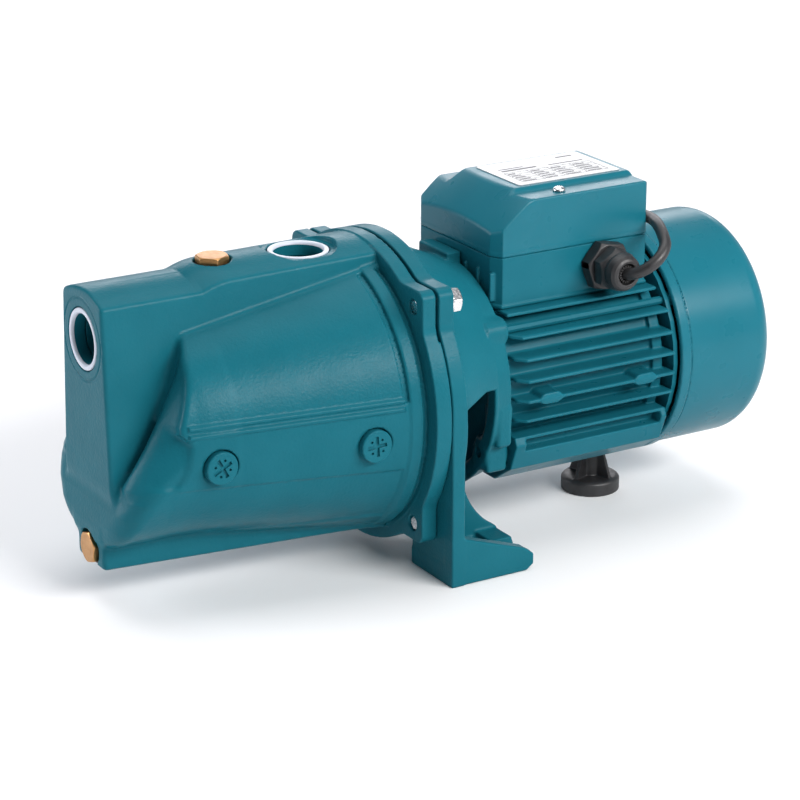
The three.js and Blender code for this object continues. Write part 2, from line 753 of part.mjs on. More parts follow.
function terminalBoxCover() {
  const seat = BOX_SEAM + 1.8;
  const side = outline([
    [BOX_FRONT, seat],
    [BOX_REAR, seat],
    [BOX_REAR, BOX_LEDGE],
    [264, BOX_LEDGE],
    [246, 98],
    [BOX_FRONT, 88],
  ]);
  const block = extruded(side, "y", -BOX_HALF, BOX_HALF).intersect(
    extruded(boxPlan(), "z", seat, BOX_TOP),
  );
  const lowered = box(230, 350, 27, 50, BOX_FAR_LEDGE, 115);
  const raised = extruded(
    outline([[257, 104], [BOX_REAR, 104], [BOX_REAR, BOX_TOP], [263, BOX_TOP]]),
    "y",
    -27,
    27,
  );
  const hollow = extruded(
    outline([[241.5, seat - 1], [339.5, seat - 1], [339.5, 100.5], [262, 100.5], [241.5, 87]]),
    "y",
    -42.5,
    42.5,
  ).intersect(extruded(boxPlan(BOX_WALL), "z", seat - 1, BOX_TOP));
  const tubes = screwPosts(4.4, seat, BOX_FAR_LEDGE - 1);
  const shell = cut(join(cut(block, lowered), raised), hollow);
  return cut(join(shell, ...tubes), ...screwPosts(2.2, seat - 1, 110));
}

function coverScrew(side, ledge) {
  const centre = [COVER_SCREW_X, side * COVER_SCREW_Y, 0];
  const dome = [[GAP, 0], [GAP, 3.8], [1.4, 3.6], [2.6, 2], [2.9, 0]];
  const head = turned(
    dome.map(([height, radius]) => [ledge + height, radius]),
    "z",
    centre,
    20,
  );
  const cross = join(
    box(-2, 2, -0.45, 0.45, ledge + 1.4, ledge + 4),
    box(-0.45, 0.45, -2, 2, ledge + 1.4, ledge + 4),
  ).translate(centre);
  return cut(join(head, bar("z", 1.6, 68, ledge + 1, centre, 12)), cross);
}

function terminalBlock() {
  const body = box(315, 336, -15, 15, 63.3, 74);
  const ways = [-10, 0, 10].map((y) => box(320, 331, y - 3, y + 3, 70, 75));
  return cut(body, ...ways);
}

function ratingLabel() {
  return box(266.5, 338, -24.3, 24.3, BOX_TOP + GAP, BOX_TOP + GAP + 0.6);
}

// ---- Cable entry --------------------------------------------------------------------------------
const GLAND_CENTRE = [GLAND_X, 0, GLAND_Z];
const glandTurned = (profile, segments = 16) => ring(profile, "y", GLAND_CENTRE, segments);

function glandBody() {
  const hex = extruded(hexagon(27, GLAND_X, GLAND_Z), "y", -54, -45.3);
  const thread = bar("y", 7.8, -54, -36, GLAND_CENTRE);
  return cut(join(hex, thread), bar("y", 5.4, -55, -35, GLAND_CENTRE));
}

function glandNut() {
  const hex = extruded(hexagon(23, GLAND_X, GLAND_Z), "y", -61.5, -54.3);
  const dome = glandTurned([
    [-55, 8],
    [-55, 11.3],
    [-66, 11.3],
    [-69.6, 10.4],
    [-GLAND_TIP, 8],
    [-GLAND_TIP, 5.6],
    [-60, 5.6],
  ]);
  return cut(join(hex, dome), bar("y", 5.6, -75, -50, GLAND_CENTRE));
}

function glandSeal() {
  return glandTurned([[-71, CORD_RADIUS + GAP], [-71, 5.3], [-54.5, 5.3], [-54.5, CORD_RADIUS + GAP]]);
}

// ---- Power cord ---------------------------------------------------------------------------------
const asCurve = (points) =>
  new THREE.CatmullRomCurve3(points.map((p) => new THREE.Vector3(...p)), false, "centripetal");

const cordRun = () => sweep(asCurve(CORD_ROUTE), CORD_RADIUS, 8, 40);
const cordTail = () => sweep(asCurve(CORD_TAIL), CORD_RADIUS, 8, 4);

// The outer shape of the coiled turns.
function cordCoil() {
  const inner = COIL_INNER_TURN - CORD_RADIUS - 0.2;
  const outer = COIL_OUTER_TURN + CORD_RADIUS + 0.2;
  const top = FLOOR + COIL_LAYERS * 2 * CORD_RADIUS + 0.6;
  const turns = sleeve(FLOOR + 0.1, top, inner, outer, 32, [COIL_X, COIL_Y, 0], "z");
  const entry = box(COIL_X, COIL_X + 70, 95, 112, FLOOR - 1, FLOOR + 8);
  const exit = box(COIL_X - 70, COIL_X - 24.2, 95, 112, FLOOR + 6, FLOOR + 20);
  return cut(turns, entry, exit);
}

function mainsPlug() {
  const profile = [
    [172, 0],
    [172, 5.2],
    [158, 7.5],
    [152, 15],
    [145, 18.4],
    [134, 18.4],
    [132, 17.4],
    [132, 0],
  ];
  const pins = [-9.5, 9.5].map((y) => bar("x", 2.4, 114, 133, [0, 106.4 + y, PLUG_AXIS_Z], 12));
  return join(turned(profile, "x", [0, 106.4, PLUG_AXIS_Z], 20), ...pins);
}

// ---- Support foot -------------------------------------------------------------------------------
function supportFoot() {
  const disc = bar("z", FOOT_RADIUS, FLOOR, -88.4, [FOOT_X, 0, 0], 32);
  const stem = bar("z", 6.6, -89, -64.3, [FOOT_X, 0, 0], 20);
  const wedge = outline([[-15, -89], [15, -89], [7.6, -66], [-7.6, -66]]);
  const rib = extruded(wedge, "y", -1.3, 1.3);
  const ribs = [0, 90].map((turn) => rib.rotate([0, 0, turn + 20]).translate([FOOT_X, 0, 0]));
  const stud = bar("z", 3, -66, -59, [FOOT_X, 0, 0], 16);
  return join(disc, stem, stud, ...ribs);
}

// ---- Assembly -----------------------------------------------------------------------------------
const pump = new THREE.Group();
pump.position.set(-MIDDLE_X, 0, SHAFT_HEIGHT);

function add(name, piece, material) {
  const { vertProperties, triVerts } = piece.getMesh();
  const geometry = new THREE.BufferGeometry();
  geometry.setAttribute("position", new THREE.BufferAttribute(vertProperties, 3));
  geometry.setIndex(new THREE.BufferAttribute(triVerts, 1));
  geometry.computeVertexNormals();
  const mesh = new THREE.Mesh(geometry, material);
  mesh.name = name;
  pump.add(mesh);
}

add("pump_casing", pumpCasing(), TEAL);
add("suction_port_ring", portRing("x", 0, -1, [0, 0, SUCTION_Z]), LINER);
add("discharge_port_ring", portRing("z", DISCHARGE_Z, 1, [DISCHARGE_X, 0, 0]), LINER);
add("priming_plug", primingPlug(), BRASS);
add("priming_plug_washer", primingWasher(), RUBBER);
add("drain_plug", drainPlug(), BRASS);
add("drain_plug_washer", drainWasher(), RUBBER);
for (const plug of SIDE_PLUGS) {
  const turn = plug.name === "front" ? 28 : 4;
  add(`side_plug_${plug.name}_left`, sidePlug(plug, turn), TEAL);
  add(`side_plug_${plug.name}_right`, mirrored(sidePlug(plug, turn)), TEAL);
}
add("ejector_nozzle", ejectorNozzle(), BRASS);
add("ejector_venturi", ejectorVenturi(), MOULDING);
add("diffuser_plate", diffuserPlate(), MOULDING);
add("impeller", impeller(), BRASS);
add("impeller_nut", impellerNut(), BRASS);
add("seal_spring", sealSpring(), STEEL);
add("seal_head", sleeve(181.2, 186, 6.4, 12.6, 24), MOULDING);
add("seal_seat", sleeve(186.3, 193.4, 8, 15, 24), CERAMIC);
add("casing_seal_ring", sleeve(181.3, 183.7, 79, 82, 28), RUBBER);

add("motor_bracket", motorBracket(), TEAL);
CORNERS.forEach((corner, i) => add(`flange_bolt_${i + 1}`, flangeBolt(corner), ZINC));
add("shaft_slinger", shaftSlinger(), RUBBER);
CORNERS.forEach((corner, i) => add(`tie_rod_${i + 1}`, tieRod(corner), ZINC));

add("motor_housing", motorHousing(), TEAL);
add("rear_shield", rearShield(), TEAL);
add("stator_core", statorCore(), LAMINATION);
add("stator_winding", statorWinding(), COPPER);
add("rotor_shaft", rotorShaft(), STEEL);
add("rotor_core", sleeve(258, 326, 9.8, 30, 28), LAMINATION);
for (const [end, x] of [["front", 225.3], ["rear", 342.7]]) {
  add(`${end}_bearing_outer`, bearingOuter(x), STEEL);
  add(`${end}_bearing_inner`, bearingInner(x), STEEL);
  add(`${end}_bearing_balls`, bearingBalls(x), STEEL);
}
add("cooling_fan", coolingFan(), MOULDING);
add("fan_cover", fanCover(), TEAL);

add("terminal_box_base", terminalBoxBase(), TEAL);
add("terminal_box_gasket", terminalBoxGasket(), RUBBER);
add("terminal_box_cover", terminalBoxCover(), TEAL);
add("cover_screw_left", coverScrew(1, BOX_FAR_LEDGE), ZINC);
add("cover_screw_right", coverScrew(-1, BOX_LEDGE), ZINC);
add("terminal_block", terminalBlock(), RESIN);
add("run_capacitor", bar("x", 17, 258.5, 312, [0, 0, 80.6], 28), CAPACITOR_CASE);
add("rating_label", ratingLabel(), LABEL);

add("gland_body", glandBody(), MOULDING);
add("gland_nut", glandNut(), MOULDING);
add("gland_seal", glandSeal(), RUBBER);
add("power_cord", cordRun(), RUBBER);
add("power_cord_coil", cordCoil(), RUBBER);
add("power_cord_tail", cordTail(), RUBBER);
add("mains_plug", mainsPlug(), MOULDING);

add("support_foot", supportFoot(), MOULDING);

export default pump;
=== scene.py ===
import functools
import json
import math

import bmesh
import bpy
import numpy as np
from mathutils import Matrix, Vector


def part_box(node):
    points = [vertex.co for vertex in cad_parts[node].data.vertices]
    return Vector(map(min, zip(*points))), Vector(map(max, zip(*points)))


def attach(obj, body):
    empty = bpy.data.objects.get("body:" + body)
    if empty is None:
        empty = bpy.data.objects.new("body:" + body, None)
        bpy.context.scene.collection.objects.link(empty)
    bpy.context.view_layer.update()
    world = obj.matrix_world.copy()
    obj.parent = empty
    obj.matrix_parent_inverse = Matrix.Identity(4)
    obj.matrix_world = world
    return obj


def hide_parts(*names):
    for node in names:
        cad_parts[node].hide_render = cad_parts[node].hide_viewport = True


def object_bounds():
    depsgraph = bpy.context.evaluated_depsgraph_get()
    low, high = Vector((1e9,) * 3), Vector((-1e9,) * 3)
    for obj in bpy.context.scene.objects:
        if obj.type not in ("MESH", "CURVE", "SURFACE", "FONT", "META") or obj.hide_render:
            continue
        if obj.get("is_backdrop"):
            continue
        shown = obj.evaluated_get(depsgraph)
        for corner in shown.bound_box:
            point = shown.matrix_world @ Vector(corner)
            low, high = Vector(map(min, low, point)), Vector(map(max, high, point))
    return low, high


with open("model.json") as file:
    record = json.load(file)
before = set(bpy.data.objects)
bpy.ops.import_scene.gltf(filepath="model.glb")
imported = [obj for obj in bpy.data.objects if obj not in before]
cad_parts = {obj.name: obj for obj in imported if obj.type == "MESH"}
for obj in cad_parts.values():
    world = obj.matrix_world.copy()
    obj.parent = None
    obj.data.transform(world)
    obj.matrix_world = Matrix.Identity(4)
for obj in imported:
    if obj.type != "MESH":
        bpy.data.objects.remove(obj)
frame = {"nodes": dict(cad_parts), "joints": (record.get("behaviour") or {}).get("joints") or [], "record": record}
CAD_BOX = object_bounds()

MM = 0.001
JOINTS = {joint["name"]: joint for joint in frame["joints"]}
FACE_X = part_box("suction_port_ring")[0].x
SHAFT_Z = JOINTS["rotor_spin"]["pos_m"][2]
ORIGIN = np.array([FACE_X, 0.0, SHAFT_Z])
FLOOR = -SHAFT_Z / MM


def span(node):
    """A CAD node's lowest and highest corner in the pump's axes, in millimetres."""
    low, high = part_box(node)
    return (np.array(low) - ORIGIN) / MM, (np.array(high) - ORIGIN) / MM


def metres(points):
    """Points in the pump's axes, in millimetres, as points of the CAD frame, in metres."""
    return np.asarray(points, float) * MM + ORIGIN


def add_object(name, data):
    """A new object of the data, linked into the scene."""
    obj = bpy.data.objects.new(name, data)
    bpy.context.scene.collection.objects.link(obj)
    return obj


# ---- Camera ----
CAMERA_PLACE = (-0.8119, -1.3470, 0.6430)
CAMERA_AZIMUTH = math.radians(-30.79)
CAMERA_ELEVATION = math.radians(19.683)
CAMERA_LENS = 127.78


def make_camera():
    data = bpy.data.cameras.new("camera")
    data.lens = CAMERA_LENS
    data.clip_start = 0.05
    data.clip_end = 50
    camera = add_object("camera", data)
    back = Vector((
        math.sin(CAMERA_AZIMUTH) * math.cos(CAMERA_ELEVATION),
        -math.cos(CAMERA_AZIMUTH) * math.cos(CAMERA_ELEVATION),
        math.sin(CAMERA_ELEVATION),
    ))
    camera.location = CAMERA_PLACE
    camera.rotation_euler = (-back).to_track_quat("-Z", "Y").to_euler()
    bpy.context.scene.camera = camera


make_camera()

# ---- Materials ----
NOISE_SPAN = (0.3, 0.7)  # nearly all of a noise texture's values lie within it
MATERIALS = {}


def blend_tones(nodes, links, source, places, tones):
    """Colours a value: the first tone below the first place, the second above the second."""
    ramp_node = nodes.new("ShaderNodeValToRGB")
    for element, place, tone in zip(ramp_node.color_ramp.elements, places, tones):
        element.position = place
        element.color = (*tone, 1)
    links.new(source, ramp_node.inputs["Fac"])
    return ramp_node.outputs["Color"]


def map_range(nodes, links, source, before, after):
    """Maps a value from the range before to the range after."""
    node = nodes.new("ShaderNodeMapRange")
    for label, value in zip(("From Min", "From Max", "To Min", "To Max"), (*before, *after)):
        node.inputs[label].default_value = value
    links.new(source, node.inputs["Value"])
    return node.outputs["Result"]


def add_material(name, dark, light, patch, rough, *layers, metal=0.0, gloss=0.5):
    """A procedural finish: patches of a dark and a light tone (linear colours), patch millimetres
    wide, with roughness between two values, and layers of relief as (size, height) in millimetres."""
    material = bpy.data.materials.new(name)
    material.use_nodes = True
    nodes, links = material.node_tree.nodes, material.node_tree.links
    shader = nodes["Principled BSDF"]
    shader.inputs["Metallic"].default_value = metal
    shader.inputs["Specular IOR Level"].default_value = gloss
    place = nodes.new("ShaderNodeTexCoord").outputs["Object"]

    def noise(size, detail):
        texture = nodes.new("ShaderNodeTexNoise")
        texture.inputs["Scale"].default_value = 1 / (size * MM)
        texture.inputs["Detail"].default_value = detail
        links.new(place, texture.inputs["Vector"])
        return texture.outputs["Fac"]

    tone = blend_tones(nodes, links, noise(patch, 3), NOISE_SPAN, (dark, light))
    links.new(tone, shader.inputs["Base Color"])
    sheen = map_range(nodes, links, noise(patch / 3, 2), NOISE_SPAN, rough)
    links.new(sheen, shader.inputs["Roughness"])
    below = None
    for size, height in layers:
        bump = nodes.new("ShaderNodeBump")
        bump.inputs["Distance"].default_value = height * MM
        links.new(noise(size, 2), bump.inputs["Height"])
        if below is not None:
            links.new(below, bump.inputs["Normal"])
        below = bump.outputs["Normal"]
    links.new(below, shader.inputs["Normal"])
    MATERIALS[name] = material


add_material("teal_paint_cast", (0.006, 0.106, 0.142), (0.008, 0.118, 0.157), 30, (0.28, 0.36),
             (1.7, 0.15), (5.0, 0.08), gloss=0.08)
add_material("teal_paint_motor", (0.006, 0.110, 0.150), (0.008, 0.122, 0.165), 24, (0.27, 0.35),
             (1.2, 0.025), (9.0, 0.05), gloss=0.09)
add_material("teal_paint_sheet", (0.007, 0.120, 0.164), (0.009, 0.130, 0.177), 40, (0.26, 0.33),
             (0.9, 0.012), (22.0, 0.05), gloss=0.17)
add_material("brass", (0.44, 0.23, 0.09), (0.54, 0.30, 0.13), 6, (0.32, 0.46),
             (0.5, 0.012), (3.0, 0.02), metal=1)
add_material("port_liner", (0.54, 0.58, 0.66), (0.58, 0.62, 0.70), 12, (0.28, 0.38),
             (1.0, 0.008), gloss=0.3)
add_material("zinc", (0.70, 0.70, 0.71), (0.82, 0.82, 0.83), 4, (0.20, 0.34),
             (0.4, 0.008), metal=1)
add_material("steel", (0.36, 0.36, 0.37), (0.46, 0.46, 0.47), 5, (0.22, 0.36),
             (0.4, 0.006), metal=1)
add_material("lamination", (0.16, 0.15, 0.15), (0.24, 0.24, 0.25), 3, (0.40, 0.55),
             (0.5, 0.03), metal=1)
add_material("copper", (0.46, 0.15, 0.06), (0.58, 0.22, 0.09), 2, (0.26, 0.40),
             (0.7, 0.12), metal=1)
add_material("black_moulding", (0.014, 0.014, 0.0155), (0.024, 0.024, 0.026), 9, (0.40, 0.55),
             (0.45, 0.022), (5.0, 0.03))
add_material("hydraulic_moulding", (0.012, 0.012, 0.013), (0.022, 0.022, 0.024), 7, (0.42, 0.56),
             (0.6, 0.02))
add_material("carbon", (0.012, 0.012, 0.013), (0.020, 0.020, 0.021), 3, (0.25, 0.35),
             (0.4, 0.006))
add_material("ceramic", (0.80, 0.78, 0.71), (0.86, 0.84, 0.78), 4, (0.15, 0.25),
             (0.5, 0.004))
add_material("rubber", (0.010, 0.010, 0.0105), (0.018, 0.018, 0.019), 5, (0.60, 0.75),
             (0.6, 0.02))
add_material("cord_sheath", (0.014, 0.014, 0.0152), (0.022, 0.022, 0.024), 14, (0.36, 0.48),
             (0.5, 0.012), (7.0, 0.05))
add_material("terminal_resin", (0.62, 0.56, 0.42), (0.70, 0.64, 0.50), 6, (0.40, 0.50),
             (0.6, 0.01))
add_material("capacitor_case", (0.62, 0.62, 0.60), (0.70, 0.70, 0.68), 12, (0.30, 0.40),
             (0.8, 0.01))
add_material("label_film", (0.50, 0.51, 0.52), (0.55, 0.56, 0.57), 16, (0.28, 0.38),
             (3.0, 0.01))
add_material("label_ink", (0.02, 0.022, 0.026), (0.05, 0.052, 0.058), 3, (0.45, 0.55),
             (0.5, 0.005))


# ---- Distance fields ----
# A shape is a function of (x, y, z) arrays that is negative inside the solid.


def length(u, v):
    """The length of the vector (u, v)."""
    return np.sqrt(u * u + v * v)


def overlap(*shapes):
    """What lies in all of the shapes, with sharp edges."""
    return functools.reduce(np.maximum, shapes)


def soft_min(a, b, blend):
    """The join of two shapes, with a fillet that starts where they are blend apart."""
    h = np.maximum(blend - np.abs(a - b), 0) / blend
    return np.minimum(a, b) - h * h * blend / 4


def soft_max(a, b, blend):
    """What lies in both shapes, with rounded edges."""
    return -soft_min(-a, -b, blend)


def join(blend, *shapes):
    return functools.reduce(lambda a, b: soft_min(a, b, blend), shapes)


def cut(blend, whole, *tools):
    for tool in tools:
        whole = soft_max(whole, -tool, blend)
    return whole


def trim(shape, *limits):
    """A shape kept within limits, each given with the rounding of the edge that it makes."""
    for limit, edge in limits:
        shape = soft_max(shape, limit, edge)
    return shape


def slab(u, low, high):
    return np.maximum(low - u, u - high)


def block(x, y, z, low, high, edge=0.8):
    """A box from corner low to corner high with rounded edges."""
    past = [np.abs(u - (a + b) / 2) - (b - a) / 2 + edge for u, a, b in zip((x, y, z), low, high)]
    outside = np.sqrt(sum(np.maximum(u, 0) ** 2 for u in past))
    return outside + np.minimum(overlap(*past), 0) - edge


def rounded(radial, along, edge):
    """Two limits met at a rounded corner: a cylinder's side and end, or an outline and a face."""
    a = radial + edge
    b = along + edge
    return length(np.maximum(a, 0), np.maximum(b, 0)) + np.minimum(np.maximum(a, b), 0) - edge


def drum(along, u, v, radius, low, high, edge=0.6):
    """A round bar along an axis from low to high, centred where u and v are zero."""
    return rounded(length(u, v) - radius, slab(along, low, high), edge)


def polygon(u, v, corners):
    """Distance to a closed outline."""
    nearest = np.full(u.shape, 1e9, u.dtype)
    inside = np.zeros(u.shape, bool)
    for (au, av), (bu, bv) in zip(corners, corners[1:] + corners[:1]):
        eu, ev = bu - au, bv - av
        wu, wv = u - au, v - av
        t = np.clip((wu * eu + wv * ev) / (eu * eu + ev * ev), 0, 1)
        nearest = np.minimum(nearest, (wu - eu * t) ** 2 + (wv - ev * t) ** 2)
        side = eu * wv > ev * wu
        up, down = v >= av, v < bv
        inside ^= (up & down & side) | (~up & ~down & ~side)
    return np.where(inside, -1, 1) * np.sqrt(nearest)


def prism(along, u, v, corners, low, high, edge=0.6):
    return rounded(polygon(u, v, corners), slab(along, low, high), edge)


def regular(count, across, turn=0.0):
    """A regular polygon's corners, from its size across flats."""
    radius = across / 2 / math.cos(math.pi / count)
    angles = [turn + (i + 0.5) * 2 * math.pi / count for i in range(count)]
    return [(radius * math.cos(a), radius * math.sin(a)) for a in angles]


def ramp(u, low, high):
    """0 below low, 1 above high, and smooth between."""
    t = np.clip((u - low) / (high - low), 0, 1)
    return t * t * (3 - 2 * t)


def straight_lines(u, places, values):
    """A value that follows straight lines between the given places."""
    return np.interp(u, places, values).astype(u.dtype)


def middle_lines(u, v, turn):
    """The distances to the two middle lines of a cross that is turned by an angle."""
    cosine, sine = math.cos(turn), math.sin(turn)
    return np.abs(u * cosine + v * sine), np.abs(v * cosine - u * sine)


def cross(a, b, reach, half):
    """A cross whose four arms are 2 half wide, from the distances a and b to its middle lines."""
    return np.minimum(np.maximum(a - reach, b - half), np.maximum(b - reach, a - half))


def turned_to(y, z, count):
    """Folds the (y, z) plane into one of count equal sectors, about the upright."""
    angle = np.arctan2(y, z)
    step = 2 * math.pi / count
    angle = angle - step * np.round(angle / step)
    radius = length(y, z)
    return radius * np.sin(angle), radius * np.cos(angle)


# ---- Cord ----
CORD_DIAMETER = 7.0
CORD_LOW = FLOOR + CORD_DIAMETER / 2 + 0.1
MAINS_AXIS = (106.4, FLOOR + 18.6)
COIL_CENTRE = (225.0, 150.0)
COIL_OUTER = 43.6
COIL_INNER = 29.2
COIL_TURNS = 4
COIL_STEP = 7.1  # the rise between the two layers
COIL_CLIMB = 90  # degrees in which the cord rises from one layer to the other
CORD_ROUTE = [
    (311, -66, 63),
    (311, -67.5, 63),
    (311.4, -71.5, 63.3),
    (312.6, -75.3, 64.3),
    (314.6, -78.5, 65.8),
    (317.1, -80.9, 67.8),
    (320.1, -82.5, 70.1),
    (323.2, -83, 72.5),
    (326.4, -82.5, 75),
    (329.3, -80.9, 77.3),
    (331.9, -78.5, 79.3),
    (333.8, -75.3, 80.8),
    (340.4, -61, 84),
    (346.6, -46, 84.3),
    (349, -30, 83.3),
    (349.6, -14, 79.9),
    (349.6, 0, 77.2),
    (349.6, 18, 74.4),
    (349.6, 36, 67.4),
    (349.6, 52, 56.2),
    (349.6, 65, 41),
    (349.6, 73.6, 22),
    (349.6, 77, 2),
    (349.6, 77.6, -20),
    (349, 77.8, -42),
    (346.2, 78, -62),
    (339.5, 78.6, -78),
    (328, 80, -89),
    (313, 83, -93.5),
    (296, 88, CORD_LOW),
    (279, 94.5, CORD_LOW),
    (262, 101, CORD_LOW),
    (245, 105.4, CORD_LOW),
]
CORD_TAIL = [(COIL_CENTRE[0] - 24.5, MAINS_AXIS[0], -86.2)]
CORD_TAIL += [(x, MAINS_AXIS[0], z) for x, z in ((190, -84), (180, -81), (171, -79.1))]


def coil_points(step_degrees=15):
    """The coil's turns: inwards on the floor, a climb of one diameter, and outwards on top."""
    total = COIL_TURNS * 360
    inward = (total - COIL_CLIMB) / 2
    turned = np.arange(0, total + 1, step_degrees)
    wound = np.minimum(np.minimum(turned, total - turned), inward) / inward
    radius = COIL_OUTER - (COIL_OUTER - COIL_INNER) * wound
    angle = np.radians(270 - turned)
    return list(zip(
        COIL_CENTRE[0] + radius * np.cos(angle),
        COIL_CENTRE[1] + radius * np.sin(angle),
        CORD_LOW + COIL_STEP * ramp(turned, inward, inward + COIL_CLIMB),
    ))


def smooth_path(points, spacing):
    """A centripetal Catmull-Rom curve through the points, sampled about every spacing."""
    p = np.array(points, float)
    p = np.vstack([2 * p[0] - p[1], p, 2 * p[-1] - p[-2]])
    path = []
    for a, b, c, d in zip(p, p[1:], p[2:], p[3:]):
        t1 = np.linalg.norm(b - a) ** 0.5
        t2 = t1 + np.linalg.norm(c - b) ** 0.5
        t3 = t2 + np.linalg.norm(d - c) ** 0.5
        count = max(1, round(float(np.linalg.norm(c - b)) / spacing))
        for t in np.linspace(t1, t2, count, endpoint=False)[:, None]:
            ab = (t1 - t) / t1 * a + t / t1 * b
            bc = (t2 - t) / (t2 - t1) * b + (t - t1) / (t2 - t1) * c
            cd = (t3 - t) / (t3 - t2) * c + (t - t2) / (t3 - t2) * d
            abc = (t2 - t) / t2 * ab + t / t2 * bc
            bcd = (t3 - t) / (t3 - t1) * bc + (t - t1) / (t3 - t1) * cd
            path.append((t2 - t) / (t2 - t1) * abc + (t - t1) / (t2 - t1) * bcd)
    path.append(p[-2])
    return np.array(path)


def make_cord():
    """The cord, the place where it leaves the gland, and its length in metres."""
    path = smooth_path(CORD_ROUTE + coil_points() + CORD_TAIL, 2.5)
    whole_length = float(np.linalg.norm(np.diff(path, axis=0), axis=1).sum())
    curve = bpy.data.curves.new("power_cord_lead", "CURVE")
    curve.dimensions = "3D"
    curve.bevel_depth = CORD_DIAMETER / 2 * MM
    curve.bevel_resolution = 6
    curve.use_fill_caps = True
    spline = curve.splines.new("POLY")
    spline.points.add(len(path) - 1)
    for point, place in zip(spline.points, metres(path)):
        point.co = (*place, 1)
    spline.use_smooth = True
    cord = add_object("power_cord_lead", curve)
    curve.materials.append(MATERIALS["cord_sheath"])
    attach(cord, "pump")
    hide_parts("power_cord", "power_cord_coil", "power_cord_tail")
    return cord, metres(path)[0], whole_length * MM


cord, cord_exit, cord_length = make_cord()

# ---- Surfaces from fields ----
MOST_TRIANGLES = 175_000
BLOCK = 4  # the field is first looked at once for each block of this many voxels
BATCH = 400_000  # points looked at together
VOXEL_SCALE = 1.0
MARGIN_LOW = 2.37  # voxels ahead of a solid's box, so that its flat faces lie between grid points
MARGIN_HIGH = 2


def sample(shape, points):
    values = np.empty(len(points), np.float32)
    for start in range(0, len(points), BATCH):
        part = points[start:start + BATCH].astype(np.float32)
        values[start:start + BATCH] = shape(part[:, 0], part[:, 1], part[:, 2])
    return values


def gradient(shape, points, reach):
    slopes = [sample(shape, points + a) - sample(shape, points - a) for a in np.eye(3) * reach]
    return np.stack(slopes, 1) / (2 * reach)


def field_grid(shape, low, high, voxel):
    """The field on a grid: exact close to the surface, and one value for a block further off."""
    blocks = np.ceil((high - low) / (voxel * BLOCK)).astype(int) + 1
    centres = [low[i] + (np.arange(blocks[i]) * BLOCK + 1.5) * voxel for i in range(3)]
    mesh = np.stack(np.meshgrid(*centres, indexing="ij"), -1)
    coarse = sample(shape, mesh.reshape(-1, 3)).reshape(blocks)
    values = np.repeat(np.repeat(np.repeat(coarse, BLOCK, 0), BLOCK, 1), BLOCK, 2)
    near = np.argwhere(np.abs(coarse) < voxel * BLOCK * 1.7)
    inner = np.stack(np.meshgrid(*[np.arange(BLOCK)] * 3, indexing="ij"), -1).reshape(-1, 3)
    cells = (near[:, None, :] * BLOCK + inner[None]).reshape(-1, 3)
    values[tuple(cells.T)] = sample(shape, low + cells * voxel)
    return values


def surface_nets(values, low, voxel):
    """Vertices, one in each cell that the surface crosses, and the quads that join them."""
    inside = values < 0
    corners = [(i, j, k) for i in (0, 1) for j in (0, 1) for k in (0, 1)]
    size = np.array(values.shape) - 1

    def shifted(array, i, j, k):
        return array[i:i + size[0], j:j + size[1], k:k + size[2]]

    count = sum(shifted(inside, *c).astype(np.int8) for c in corners)
    cells = np.argwhere((count > 0) & (count < 8))
    index = np.full(size, -1, np.int64)
    index[tuple(cells.T)] = np.arange(len(cells))
    total = np.zeros((len(cells), 3))
    crossings = np.zeros(len(cells))
    for a in corners:
        for axis in range(3):
            if a[axis]:
                continue
            b = tuple(1 if i == axis else a[i] for i in range(3))
            va = values[tuple((cells + a).T)].astype(float)
            vb = values[tuple((cells + b).T)].astype(float)
            crossed = (va < 0) != (vb < 0)
            t = np.where(crossed, va / np.where(crossed, va - vb, 1), 0)
            place = np.array(a, float)[None] + t[:, None] * np.eye(3)[axis][None]
            total += place * crossed[:, None]
            crossings += crossed
    vertices = low + (cells + total / crossings[:, None]) * voxel
    quads = []
    for axis in range(3):
        u, v = (axis + 1) % 3, (axis + 2) % 3
        here = [slice(1, size[i]) for i in range(3)]
        here[axis] = slice(0, size[axis])
        after = list(here)
        after[axis] = slice(1, size[axis] + 1)
        a, b = inside[tuple(here)], inside[tuple(after)]
        for start, flip in ((a & ~b, False), (b & ~a, True)):
            at = np.argwhere(start)
            at += [0 if i == axis else 1 for i in range(3)]
            around = []
            for du, dv in ((0, 0), (-1, 0), (-1, -1), (0, -1)):
                cell = at.copy()
                cell[:, u] += du
                cell[:, v] += dv
                around.append(index[tuple(cell.T)])
            if flip:
                around.reverse()
            quads.append(np.stack(around, 1))
    return vertices, np.vstack(quads)


def settled(shape, vertices, voxel, rounds=3):
    """The vertices moved on to the surface itself."""
    for _ in range(rounds):
        distance = sample(shape, vertices)[:, None]
        slope = gradient(shape, vertices, voxel * 0.2)
        step = distance * slope / np.maximum((slope ** 2).sum(1, keepdims=True), 0.2)
        vertices = vertices - np.clip(step, -voxel * 0.6, voxel * 0.6)
    return vertices


def link_mesh(name, vertices, faces, materials):
    mesh = bpy.data.meshes.new(name)
    mesh.from_pydata(vertices, [], faces)
    for material in materials:
        mesh.materials.append(MATERIALS[material])
    return add_object(name, mesh)


